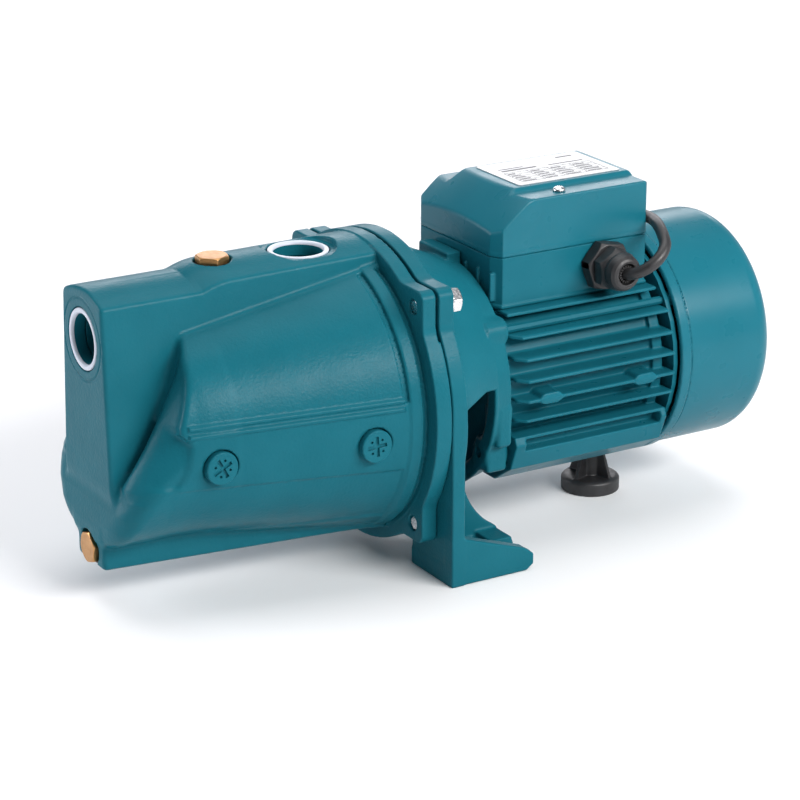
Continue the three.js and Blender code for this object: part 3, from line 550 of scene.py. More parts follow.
def cast(name, shape, low, high, voxel, material):
    """A solid as a fine mesh of its field, shaded with the field's own slope."""
    voxel = voxel * VOXEL_SCALE
    low = np.asarray(low, float) - MARGIN_LOW * voxel
    high = np.asarray(high, float) + MARGIN_HIGH * voxel
    vertices, quads = surface_nets(field_grid(shape, low, high, voxel), low, voxel)
    vertices = settled(shape, vertices, voxel)
    obj = link_mesh(name, metres(vertices), quads.tolist(), [material])
    if 2 * len(quads) > MOST_TRIANGLES:
        thin = obj.modifiers.new("thin", "DECIMATE")
        thin.ratio = MOST_TRIANGLES / (2 * len(quads))
        graph = bpy.context.evaluated_depsgraph_get()
        mesh = bpy.data.meshes.new_from_object(obj.evaluated_get(graph))
        obj.modifiers.clear()
        obj.data = mesh
    mesh = obj.data
    places = np.empty(len(mesh.vertices) * 3)
    mesh.vertices.foreach_get("co", places)
    places = (places.reshape(-1, 3) - ORIGIN) / MM
    normals = gradient(shape, places, voxel * 0.3)
    normals /= np.maximum(np.linalg.norm(normals, axis=1, keepdims=True), 1e-6)
    mesh.polygons.foreach_set("use_smooth", [True] * len(mesh.polygons))
    mesh.normals_split_custom_set_from_vertices(normals.tolist())
    return obj


def stands_for(obj, body, slot, *nodes):
    """Puts a piece on its body, in the place of its CAD nodes."""
    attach(obj, body)
    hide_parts(*nodes)
    return obj


def cast_node(node, shape, voxel, slot, body="pump"):
    """A cast solid in the place of one CAD node, within that node's box."""
    low, high = span(node)
    return stands_for(cast(f"{node}_shape", shape, low, high, voxel, slot), body, slot, node)


# ---- Pump casing ----
SUCTION = sum(span("suction_port_ring")) / 2
DISCHARGE = sum(span("discharge_port_ring")) / 2
DISCHARGE_FACE = span("discharge_port_ring")[1][2]
PRIMING = sum(span("priming_plug_washer")) / 2
DRAIN = sum(span("drain_plug_washer")) / 2
BOLT_OFFSET = (sum(span("flange_bolt_1")) / 2)[2]
CASING_REAR = span("pump_casing")[1][0]
FLANGE_RADIUS = span("pump_casing")[1][1]
FLANGE_FRONT = CASING_REAR - 10
FLANGE_CORNER = 75
CORNER_ROUND = 6
WEB_HALF = 26
WEB_DRAFT = 0.05
BORE = 14.4
PORT_SEAT = 18
PORT_RECESS = 21.5
PORT_MARK = 23.2
BRASS_HOLE = 7
BOLT_HOLE = 4.4
SIDE_PLUG_HEIGHT = (sum(span("side_plug_front_right")) / 2)[2]
BRASS_RECESS = 10.7
JOINT_GAP = 1.3
KEEL_RADIUS = 61.5
BLEND_END = 60  # how far back the keel and the shoulder reach inside the cone
PANEL_END = 158
PAST_FRONT = -5  # ahead of the suction face, for cuts that break out of it
PAST_TOP = 99  # past the casing, for cuts that break out of its top or sides


def side_plug_size(node):
    """A side plug's place along the pump, its radius, and its inner and outer ends."""
    low, high = span(node)
    root, outer = sorted((abs(low[1]), abs(high[1])))
    return (low[0] + high[0]) / 2, (high[0] - low[0]) / 2, root, outer


def cone_radius(x):
    return 57.1 + 0.15 * x


def flange(x, y, z, low, high, edge=1.2):
    """A disc joined with a square whose rounded corners take the bolts."""
    disc = length(y, z) - FLANGE_RADIUS
    square = rounded(np.abs(y) - FLANGE_CORNER, np.abs(z) - FLANGE_CORNER, CORNER_ROUND)
    return rounded(soft_min(disc, square, 2.5), slab(x, low, high), edge)


def bolt_bars(x, y, z, radius, low, high, edge=0.4):
    return drum(x, np.abs(y) - BOLT_OFFSET, np.abs(z) - BOLT_OFFSET, radius, low, high, edge)


def climb(u, low, high):
    """0 below low, then a sharp start that eases out to 1 at high."""
    t = np.clip((u - low) / (high - low), 0, 1)
    return t * (2 - t)


def casing_web(x, side, z):
    """The upright web that carries both ports, with a step in its arched top."""
    shoulder = 78.9 + 4.2 * climb(x, 62, 82) + 0.02 * np.maximum(x - 82, 0)
    crown = 85.6 + 4.6 * climb(x, 59, 77)
    top = shoulder + (crown - shoulder) * (1 - (side / WEB_HALF) ** 2)
    half = WEB_HALF + WEB_DRAFT * (56 - z)
    return trim(
        side - half,
        ((z - top) * 0.93, 2.2),
        (-x, 2.6),
        (x - FLANGE_FRONT - 1, 2),
        (-30 - z, 8),
    )


def casing_shoulder(x, side, z, skin):
    """A ridge that climbs beside the web, from the keel up to the cone's nose."""
    crest = straight_lines(z, (-40, -20, 1, 16, 28, 38, 49, 70), (-2, 3.4, 17, 25.4, 31.8, 38, 41, 48))
    depth = straight_lines(z, (-24, -8, 20, 44, 58), (1, 9, 13, 8, 0))
    front = crest + depth * (1 - ramp(side, 29, 38))
    front = front + 0.2 * np.maximum(side - 40, 0) + 0.03 * np.maximum(side - 40, 0) ** 2
    return trim((front - x) * 0.85, (skin + 1.3, 3), (z - 54, 8), (-30 - z, 16), (x - BLEND_END, 4))


def casing_keel(x, around, z):
    """The body's lower part, carried forward past the suction face to a blunt round front."""
    front = straight_lines(z, (-75, -66, -58, -46, -36, -26, -16), (6, 0.6, -1.4, -1.4, 0.2, 4.6, 12))
    chin = ramp(-z, 34, 58)
    barrel = rounded(around - KEEL_RADIUS - 1.8 * chin, front - x, 13 - 6 * chin)
    return trim(barrel, (z + 17, 2.5), (x - BLEND_END, 4))


def casing_outside(x, y, z):
    """Cone, shoulder, keel, web, plinth and flange, before anything is cut out of them."""
    side = np.abs(y)
    around = length(y, z)
    skin = (around - cone_radius(x)) * 0.989
    panel = ramp(PANEL_END - x, -1, 1) * ramp(-19 - 0.05 * (x - 26) - z, -1, 1)
    skin = skin + 0.9 * panel * ramp(z + 60, -2, 2)
    skin = skin - 0.8 * ramp(x - 160, -1.2, 1.2)
    nose = straight_lines(
        z,
        (-18, -6, 6, 9, 13, 17, 27, 40, 52, 58, 70),
        (27, 32.8, 34, 33, 29, 29.4, 33.5, 38.8, 43, 45.2, 50),
    )
    cone = trim(skin, (nose - x, 3), (x - FLANGE_FRONT - 1, 2))
    groove = overlap(slab(x, 156.6, 159.8), cone_radius(x) - 1.8 - around, 15 - z, WEB_HALF + 1 - side)
    cone = cut(1.0, cone, groove)
    for height in (11.8, 16.4):
        bead = length(z - height, around - cone_radius(x)) - 1.3
        cone = soft_min(cone, np.maximum(bead, slab(x, 33, 157)), 1.2)

    plinth = trim(side - 17 - 0.122 * x, (slab(z, -75, -50), 3), (-x, 3), (x - FLANGE_FRONT, 2))
    body = soft_min(cone, casing_shoulder(x, side, z, skin), 4)
    beside_web = WEB_HALF + 2 - side - np.maximum(-z, 0)
    trench = overlap(slab(x, 167.4, FLANGE_FRONT), 80.4 - around, beside_web)
    body = cut(0.8, body, trench)
    body = soft_min(body, soft_min(casing_keel(x, around, z), casing_web(x, side, z), 7), 3)
    body = soft_min(body, plinth, 4)
    return soft_min(body, flange(x, y, z, FLANGE_FRONT, CASING_REAR, 0.8), 0.8)


def casing_shape(x, y, z):
    """The casing with its chamber, ports, plug seats and bolt holes."""
    side = np.abs(y)
    around = length(y, z)
    chamber = polygon(x, around, [
        (44, 0), (44, 28), (58, 46), (66, 58), (160, 75.6), (160, 77), (CASING_REAR + 5, 77),
        (CASING_REAR + 5, 0),
    ])
    passage = block(x, y, z, (62, -18, 30), (165, 18, 78.5), 2)

    def front_bar(centre, radius, high, edge=0.3):
        return drum(x, y, z - centre[2], radius, PAST_FRONT, high, edge)

    def top_bar(centre, radius, low, edge=0.3):
        return drum(z, x - centre[0], y, radius, low, PAST_TOP, edge)

    ring_mark = length(x, length(y, z - SUCTION[2]) - PORT_MARK) - 0.55
    whole = cut(0.6, casing_outside(x, y, z), ring_mark)
    whole = cut(
        0.8,
        whole,
        top_bar(DISCHARGE, PORT_RECESS, DISCHARGE_FACE - 0.3, 0.8),
        top_bar(PRIMING, BRASS_RECESS, PRIMING[2] - 0.75, 0.5),
        front_bar(DRAIN, BRASS_RECESS, DRAIN[0] + 0.75, 0.5),
        front_bar(SUCTION, BORE, 70, 1),
        top_bar(DISCHARGE, BORE, 70, 1),
    )
    whole = cut(
        0.5,
        whole,
        chamber,
        passage,
        front_bar(SUCTION, PORT_SEAT, 9),
        top_bar(DISCHARGE, PORT_SEAT, DISCHARGE_FACE - 10),
        top_bar(PRIMING, BRASS_HOLE, 70),
        front_bar(DRAIN, BRASS_HOLE, 44),
    )
    for end in ("front", "rear"):
        middle, radius, _, outer = side_plug_size(f"side_plug_{end}_left")
        u, v = x - middle, z - SIDE_PLUG_HEIGHT
        hole = drum(side, u, v, radius - 2, 40, PAST_TOP, 0.3)
        face = drum(side, u, v, radius + 0.7, outer - 4.9, PAST_TOP, 0.4)
        whole = cut(0.8, whole, hole, face)
    gap = overlap(CASING_REAR - JOINT_GAP - x, 84 - around, 46 - z)
    return cut(0.5, whole, bolt_bars(x, y, z, BOLT_HOLE, 165, 190), gap)


cast_node("pump_casing", casing_shape, 1.15, "teal_paint_cast")

# ---- Motor bracket ----
BRACKET_LOW, BRACKET_HIGH = span("motor_bracket")
BRACKET_FRONT = BRACKET_LOW[0]
ROD_Y, ROD_Z = (sum(span("tie_rod_2")) / 2)[1:]
LEG_OUTER = BRACKET_HIGH[1]
LEG_REAR = 237
BELL_FRONT = 189
BELL_REAR = 236
BEARING_SEAT = 17.6
ROD_HOLE = 2.9


def rod_bars(x, y, z, radius, low, high, edge=0.2):
    return drum(x, np.abs(y) - ROD_Y, np.abs(z) - ROD_Z, radius, low, high, edge)


def bracket_foot(x, side, z):
    """A slotted base with an outer wall, a stiffening gusset and a pad beside the slot."""
    upright = block(x, side, z, (BRACKET_FRONT, 46, FLOOR), (190, LEG_OUTER, 0), 1.2)
    base = block(x, side, z, (BRACKET_FRONT, 46, FLOOR), (LEG_REAR - 1, 87, -87.6), 1.2)
    pad = block(x, side, z, (221, 47, -90), (LEG_REAR - 1.5, 69.5, -84.5), 1)
    wall = prism(side, x, z, [
        (BRACKET_FRONT, FLOOR), (232, FLOOR), (LEG_REAR, -94), (LEG_REAR, -88),
        (231, -83.4), (189, -69), (BRACKET_FRONT, -69),
    ], 82.5, LEG_OUTER, 1.2)
    gusset = trim(
        slab(side, 46, 52),
        (slab(x, 188, LEG_REAR - 2), 1),
        (slab(z, -90, -40), 1),
        (47 - length(x - 259, z + 43), 1.2),
    )
    slot = soft_min(
        block(x, side, z, (220, 70, FLOOR - 5), (LEG_REAR + 5, 80, -76), 0.3),
        drum(z, x - 220, side - 75, 5, FLOOR - 5, -76, 0.3),
        0.5,
    )
    return cut(1.2, join(2.5, upright, base, wall, pad, gusset), slot)


def bracket_shape(x, y, z):
    """A flange, a bell with a window on each side, a rear wall for the bearing, and two feet."""
    side = np.abs(y)
    around = length(y, z)
    plate = flange(x, y, z, BRACKET_FRONT, BRACKET_FRONT + 10.2)
    bell = polygon(x, around, [
        (BELL_FRONT, 84.8), (226, 68.2), (BELL_REAR, 66), (BELL_REAR, 59), (226, 59), (BELL_FRONT, 78),
    ]) - 0.4
    bell = soft_max(bell, x - BELL_REAR, 1)
    sill = straight_lines(x, (192, 215, 228), (2, 8.5, 6.4))
    bell = cut(2.0, bell, overlap(slab(x, 194, 223), z - sill, 18 - side))
    hub = drum(x, y, z, 20, BELL_FRONT, 198, 1)
    rear_wall = rounded(around - 61, slab(x, 230, BELL_REAR), 0.5)
    bearing_boss = drum(x, y, z, 24, 225, BELL_REAR, 0.8)
    lugs = rod_bars(x, y, z, 8, 224, 238, 1)
    arms = block(x, side, z, (224, 47, -47), (237.5, 60, -26), 2)
    strap = block(x, side, z, (226, 52, -30), (236.5, 67.5, -5), 3)
    crest = block(x, y, z, (228, -8, 55), (237.5, 24, 72), 1.2)
    whole = join(2.5, plate, bell, rear_wall, hub, bearing_boss, lugs, arms, strap, crest)
    whole = soft_min(whole, bracket_foot(x, side, z), 3)
    whole = soft_max(whole, overlap(side - LEG_OUTER, FLOOR - z, BRACKET_FRONT - x), 1.0)
    whole = cut(
        0.6,
        whole,
        drum(x, y, z, 9, 170, 199, 0.2),
        drum(x, y, z, 15.3, 170, 194.3, 0.2),
        drum(x, y, z, BEARING_SEAT, 224, 245, 0.2),
        rod_bars(x, y, z, ROD_HOLE, 220, 245),
        bolt_bars(x, y, z, BOLT_HOLE, 170, 196),
    )
    seal_groove = np.maximum(slab(x, 175, 184), np.abs(around - 80.75) - 2.25)
    whole = cut(0.4, whole, seal_groove)
    return cut(1.0, whole, bolt_bars(x, y, z, 9.8, 191.7, 207))


cast_node("motor_bracket", bracket_shape, 1.1, "teal_paint_cast")

# ---- Motor housing ----
HOUSING_LOW, HOUSING_HIGH = span("motor_housing")
HOUSING_FRONT = HOUSING_LOW[0]
FIN_RADIUS = HOUSING_HIGH[1]
FIN_TOP = 32.4
FIN_PITCH = 12.2
FIN_COUNT = 5
BARREL_RADIUS = 57.5
BARREL_REAR = 346
FIN_FRONT = 240.5
FIN_HALF = 1.15
END_RING = 60.5
STATOR_BORE = span("stator_core")[1][1] + 0.5
FOOT = sum(span("support_foot")) / 2
LEDGE_TOP = span("terminal_box_base")[0][2]


def housing_shape(x, y, z):
    """A barrel with level fins, a ledge under the terminal box and a rail below."""
    side = np.abs(y)
    around = length(y, z)
    barrel = rounded(around - BARREL_RADIUS, slab(x, HOUSING_FRONT, BARREL_REAR), 0.8)
    end_ring = rounded(around - END_RING, slab(x, 339, BARREL_REAR), 0.8)
    row = np.clip(np.round((FIN_TOP - z) / FIN_PITCH), 0, FIN_COUNT - 1)
    off_row = z - (FIN_TOP - row * FIN_PITCH)
    blunt = np.maximum(246 - x, 0) * 1.1
    fin = trim(
        np.abs(off_row) - FIN_HALF,
        (around - FIN_RADIUS + blunt, 1.4),
        (slab(x, FIN_FRONT, 349), 1.4),
    )
    pads = [
        soft_max(length(np.maximum(np.abs(x - middle) - 4, 0), z + 4) - 3.4, around - FIN_RADIUS, 1)
        for middle in (261.5, 327.5)
    ]
    ledge = block(x, y, z, (FIN_FRONT, -53.4, LEDGE_TOP - 2.5), (345, 53.4, LEDGE_TOP - 0.3), 0.7)
    rail = prism(x, y, z, [
        (-64.5, -26.5), (-66.8, -31), (-60.5, -47), (-43, -58.5),
        (43, -58.5), (60.5, -47), (66.8, -31), (64.5, -26.5),
    ], HOUSING_FRONT + 1, BARREL_REAR, 0.8)
    rail = cut(1.2, rail, block(x, side, z, (247, 57, -35.2), (342, 90, -28.4), 0.8))
    boss = drum(z, x - FOOT[0], y, 9, -64, -55, 1)
    whole = join(1.6, barrel, end_ring, fin, *pads, ledge, rail, boss)
    return cut(
        0.5,
        whole,
        drum(x, y, z, STATOR_BORE, 220, 360, 0.2),
        drum(z, x - FOOT[0], y, 3.3, -70, -50, 0.2),
        np.maximum(rod_bars(x, y, z, ROD_HOLE, 220, 360), around - 56.5),
    )


cast_node("motor_housing", housing_shape, 1.0, "teal_paint_motor")

# ---- Fan cover ----
COVER_LOW, COVER_HIGH = span("fan_cover")
COVER_RADIUS = 69.8
COVER_ROUND = 13
COVER_WALL = 1.8
COVER_SEAM = COVER_LOW[0] + 7.4


def fan_cover_shape(x, y, z):
    """A drawn cup with a rolled rim, and two rings of slots in its end."""
    around = length(y, z)
    rear = COVER_HIGH[0]
    outer = rounded(around - COVER_RADIUS, x - rear, COVER_ROUND)
    outer = soft_max(outer, COVER_LOW[0] - x, 0.6)
    rim = rounded(around - COVER_HIGH[1], slab(x, COVER_LOW[0], COVER_SEAM - 0.8), 0.8)
    seam = np.maximum(slab(x, COVER_SEAM - 0.8, COVER_SEAM + 0.6), COVER_RADIUS - 0.5 - around)
    inner = rounded(around - COVER_RADIUS + COVER_WALL, x - rear + COVER_WALL, COVER_ROUND)
    whole = cut(0.6, soft_min(outer, rim, 1.0), inner, seam)
    across, out = turned_to(y, z, 24)
    slots = [
        soft_max(np.abs(across) - 1.9, slab(out, low, high), 1.5)
        for low, high in ((19, 33), (38, 52))
    ]
    return cut(0.8, whole, np.maximum(np.minimum(*slots), rear - 5 - x))


cast_node("fan_cover", fan_cover_shape, 1.1, "teal_paint_sheet")

# ---- Terminal box ----
BASE_LOW, BASE_HIGH = span("terminal_box_base")
LID_LOW, LID_HIGH = span("terminal_box_cover")
BOX_FRONT = BASE_LOW[0]
BOX_REAR = BASE_HIGH[0]
BOX_HALF = BASE_HIGH[1]
SCREW = sum(span("cover_screw_right")) / 2
SCREW_HEAD = 2.9
LID_LEDGE = span("cover_screw_right")[1][2] - SCREW_HEAD
FAR_LEDGE = span("cover_screw_left")[1][2] - SCREW_HEAD
GLAND = sum(span("gland_body")) / 2
LID_SEAM = BASE_HIGH[2] + 0.2
BOX_WALL = 2.5
SCOOP_END = 263.5


def screw_bars(x, y, z, radius, low, high, edge=0.2):
    return drum(z, x - SCREW[0], np.abs(y) - abs(SCREW[1]), radius, low, high, edge)


def box_plan(inset=0.0):
    """Square at the back, with its front corners cut off."""
    cut_half = 38 - inset / 2
    half = BOX_HALF - inset
    front = BOX_FRONT + inset
    return [
        (BOX_REAR - inset, -half), (BOX_REAR - inset, half), (front + 4, half),
        (front, cut_half), (front, -cut_half), (front + 4, -half),
    ]


def box_base_shape(x, y, z):
    """An open box on the motor's ledge, with three ribs in front and two screw posts."""
    side = np.abs(y)
    shell = prism(z, x, y, box_plan(), BASE_LOW[2], BASE_HIGH[2], 0.7)
    skirt = prism(z, x, y, box_plan(-0.8), BASE_LOW[2], BASE_LOW[2] + 2.4, 0.7)
    ribs = [
        block(x, y, z, (BOX_FRONT - 1.6, middle - 1.1, 50), (BOX_FRONT + 2, middle + 1.1, 67), 0.7)
        for middle in (-40, -26, -13)
    ]
    whole = join(0.8, shell, soft_max(skirt, BOX_FRONT - x, 0.8), *ribs)
    hollow = prism(z, x, y, box_plan(BOX_WALL), 63, 90, 0.5)
    well = block(x, side, z, (246, 33, 52.5), (BOX_REAR - BOX_WALL, BOX_HALF - BOX_WALL, 90), 1)
    whole = cut(0.6, whole, hollow, well)
    whole = soft_min(whole, screw_bars(x, y, z, 4.4, 52, BASE_HIGH[2], 0.4), 0.8)
    barrel = length(y, z) - BARREL_RADIUS - 0.3
    gland_hole = np.maximum(length(x - GLAND[0], z - GLAND[2]) - 8.2, y + 38)
    return cut(0.4, whole, barrel, gland_hole, screw_bars(x, y, z, 1.9, 66, 90))


def lid_outside(x, y, z):
    """A lid with a raised panel, a sloping front and scooped front corners."""
    side = np.abs(y)
    ledge = LID_LEDGE + (FAR_LEDGE - LID_LEDGE) * ramp(y, 22, 28)
    body = trim(polygon(x, y, box_plan()), (z - ledge, 1.2), (LID_LOW[2] - z, 0.6))
    plateau = trim(
        side - 27 - 0.5 * (LID_HIGH[2] - z),
        (z - LID_HIGH[2], 1.0),
        (x - BOX_REAR, 1.5),
        (96 - z, 1),
    )
    body = soft_min(body, plateau, 3.0)
    arch = 93 - 0.0021 * y * y
    run = x - BOX_FRONT
    front = arch + run * (0.98 - 0.006 * run)
    body = soft_max(body, (z - front) * 0.76, 1.4)
    ahead = (SCOOP_END - np.clip(x, FIN_FRONT, SCOOP_END)) / 23.2
    scoop_start = 89.8 + 17.6 * np.sqrt(np.maximum(1 - ahead ** 2, 0))
    corner = z - scoop_start - 1.5 * (BOX_HALF - side)
    corner = np.where(x < SCOOP_END, corner, corner - (x - SCOOP_END) * 1.5)
    return soft_max(body, corner * 0.5, 1.2)


def lid_shape(x, y, z):
    """The lid, hollowed, with the seats and holes of its two screws."""
    side = np.abs(y)
    hollow = polygon(x, z, [(241.5, 60), (339.5, 60), (339.5, 100.5), (266, 100.5), (241.5, 84)])
    below_panel = z - 96 + np.maximum(side - 30, 0)
    hollow = overlap(hollow, polygon(x, y, box_plan(BOX_WALL)), below_panel)
    whole = cut(0.6, lid_outside(x, y, z), hollow)
    rim = np.maximum(polygon(x, y, box_plan()), -polygon(x, y, box_plan(1.3)))
    whole = soft_min(whole, soft_max(rim, slab(z, LID_SEAM, LID_LOW[2] + 1), 0.3), 0.5)
    whole = soft_min(whole, screw_bars(x, y, z, 4.4, LID_LOW[2], FAR_LEDGE - 1, 0.4), 0.8)
    for sign, seat in ((1, FAR_LEDGE), (-1, LID_LEDGE)):
        dimple = drum(z, x - SCREW[0], y - sign * abs(SCREW[1]), 4.6, seat + 0.1, 130, 0.5)
        whole = cut(0.4, whole, dimple)
    return cut(0.4, whole, screw_bars(x, y, z, 2.2, 60, 130))


cast_node("terminal_box_base", box_base_shape, 0.95, "teal_paint_motor")
lid = cast(
    "terminal_box_cover_shape", lid_shape, (LID_LOW[0], LID_LOW[1], LID_SEAM), LID_HIGH, 0.95,
    "teal_paint_sheet",
)
stands_for(lid, "pump", "teal_paint_sheet", "terminal_box_cover")

# ---- Turned and machined pieces ----
def softened(profile, radius=0.5, steps=4):
    """A closed profile with each corner rounded by a short curve."""
    points = []
    count = len(profile)
    for i in range(count):
        before, here, after = (np.array(profile[(i + k) % count], float) for k in (-1, 0, 1))
        a, b = before - here, after - here
        reach = min(radius, np.linalg.norm(a) * 0.45, np.linalg.norm(b) * 0.45)
        start = here + a / np.linalg.norm(a) * reach
        end = here + b / np.linalg.norm(b) * reach
        for t in np.linspace(0, 1, steps + 1):
            points.append((1 - t) ** 2 * start + 2 * t * (1 - t) * here + t * t * end)
    return points


def lathe(name, profile, axis, centre, material, segments=96, radius=0.5):
    """A ring: a closed profile of (place along the axis, radius) turned about the axis."""
    outline = softened(profile, radius)
    other = [i for i in range(3) if i != axis]
    vertices = []
    faces = []
    count = len(outline)
    for j in range(segments):
        angle = 2 * math.pi * j / segments
        a, b = j * count, (j + 1) % segments * count
        for i, (along, reach) in enumerate(outline):
            point = np.array(centre, float)
            point[axis] = along
            point[other[0]] += reach * math.cos(angle)
            point[other[1]] += reach * math.sin(angle)
            vertices.append(point)
            faces.append((a + i, a + (i + 1) % count, b + (i + 1) % count, b + i))
    obj = link_mesh(name, metres(vertices), faces, [material])
    shell = bmesh.new()
    shell.from_mesh(obj.data)
    bmesh.ops.recalc_face_normals(shell, faces=shell.faces)
    shell.to_mesh(obj.data)
    shell.free()
    obj.data.polygons.foreach_set("use_smooth", [True] * len(faces))
    return obj


def port_ring(node, axis, face, inward):
    """The moulded liner of a port, with a rounded lip and a step down into its bore."""
    inner = BORE - 0.2
    low, high = span(node)
    outer = (high[1] - low[1]) / 2
    back = face + inward * 8.5
    profile = [
        (face, inner + 0.9), (face, outer - 0.2), (back, outer), (back, inner),
        (face + inward * 1.1, inner),
    ]
    obj = lathe(f"{node}_liner", profile, axis, sum(span(node)) / 2, "port_liner", radius=0.8)
    obj.data.materials.append(MATERIALS["teal_paint_cast"])
    lip = metres([face + inward * 2.2] * 3)[axis]
    for facet in obj.data.polygons:
        facet.material_index = int((facet.center[axis] - lip) * inward > 0)
    stands_for(obj, "pump", "port_liner", node)


port_ring("suction_port_ring", 0, span("suction_port_ring")[0][0], 1)
port_ring("discharge_port_ring", 2, DISCHARGE_FACE, -1)


def hex_head(along, u, v, flats, low, high, chamfer, turn=0.0, edge=0.25):
    """A hexagon head, its outer corners taken off by a cone."""
    head = prism(along, u, v, regular(6, flats, turn), low, high, edge)
    reach = length(u, v)
    cone = (reach - flats / 2 + (along - high) * chamfer) / math.sqrt(1 + chamfer * chamfer)
    return soft_max(head, cone, 0.3)


def threaded(along, u, v, radius, pitch, low, high):
    """A screw thread: the bar's radius follows the helix."""
    angle = np.arctan2(v, u)
    phase = along / pitch - angle / (2 * math.pi)
    tooth = np.abs(phase - np.round(phase)) * 2
    depth = pitch * 0.5
    reach = length(u, v) - (radius - depth * tooth)
    return soft_max(reach * 0.7, slab(along, low, high), 0.3)


BRASS_HEAD = 4.6
BRASS_THREAD = 6.5
BRASS_PITCH = 1.337


def brass_plug(along, u, v, flats, low, high, turn):
    """A hexagon head on a threaded shank, from low to high along its axis."""
    seat = high - BRASS_HEAD
    head = hex_head(along, u, v, flats, seat, high, 1.5, math.radians(turn))
    return soft_min(head, threaded(along, u, v, BRASS_THREAD, BRASS_PITCH, low, seat + 0.5), 0.3)


def priming_plug_shape(x, y, z):
    low, high = span("priming_plug")
    return brass_plug(z, x - PRIMING[0], y, (high - low)[0], low[2], high[2], -9)


def drain_plug_shape(x, y, z):
    low, high = span("drain_plug")
    return brass_plug(-x, y, z - DRAIN[2], (high - low)[1], -high[0], -low[0], 12)


cast_node("priming_plug", priming_plug_shape, 0.32, "brass", "priming_plug")
cast_node("drain_plug", drain_plug_shape, 0.32, "brass", "drain_plug")


def side_plug_shape(node, side, turn):
    """A disc with a crossed driving recess and four small dimples between its arms."""
    middle, radius, root, outer = side_plug_size(node)

    def shape(x, y, z):
        along = y * side
        u, v = x - middle, z - SIDE_PLUG_HEIGHT
        disc = drum(along, u, v, radius, outer - 4.6, outer, 0.9)
        thread = threaded(along, u, v, radius - 1.6, 1.5, root, outer - 4.2)
        a, b = middle_lines(u, v, turn)
        dimples = length(a - 3.3, b - 3.3) - 0.72
        marks = np.maximum(np.minimum(cross(a, b, 5.9, 0.95), dimples), outer - 1.4 - along)
        return cut(0.25, soft_min(disc, thread, 0.3), marks)

    return shape


for end, degrees in (("front", 28), ("rear", 4)):
    for hand, side in (("left", 1), ("right", -1)):
        node = f"side_plug_{end}_{hand}"
        shape = side_plug_shape(node, side, math.radians(-side * degrees))
        cast_node(node, shape, 0.36, "teal_paint_cast")


def flange_bolt_shape(node):
    low, high = span(node)
    middle = (low + high) / 2

    def shape(x, y, z):
        u, v = y - middle[1], z - middle[2]
        head = hex_head(x, u, v, 13, 193.2, high[0], 1.6, math.radians(15))
        washer = drum(x, u, v, 8.3, 192, 193.5, 0.3)
        dish = drum(x, u, v, 3.4, high[0] - 0.6, high[0] + 3, 0.3)
        thread = threaded(x, u, v, 4, 1.25, low[0], 192.6)
        return soft_min(cut(0.4, soft_min(head, washer, 0.2), dish), thread, 0.2)

    return shape


for number in (1, 2, 3, 4):
    node = f"flange_bolt_{number}"
    cast_node(node, flange_bolt_shape(node), 0.42, "zinc")


def cover_screw_shape(node):
    low, high = span(node)
    middle = (low + high) / 2

    def shape(x, y, z):
        u, v = x - middle[0], y - middle[1]
        reach = length(u, v)
        dome = length(reach, z - high[2] + 4.6) - 4.6
        head = trim(dome, (reach - 3.7, 0.5), (high[2] - 2.6 - z, 0.3))
        shank = threaded(z, u, v, 1.7, 0.8, low[2], high[2] - 2)
        taper = (z - high[2]) * 0.5
        driver = np.maximum(cross(np.abs(u), np.abs(v), 2.1, 0.42) - taper, high[2] - 1.9 - z)
        return cut(0.15, soft_min(head, shank, 0.3), driver)

    return shape


for hand in ("left", "right"):
    node = f"cover_screw_{hand}"
    cast_node(node, cover_screw_shape(node), 0.24, "zinc")


# ---- Rating label ----
LABEL_LOW, LABEL_HIGH = span("rating_label")
LABEL_ROUND = 2.0


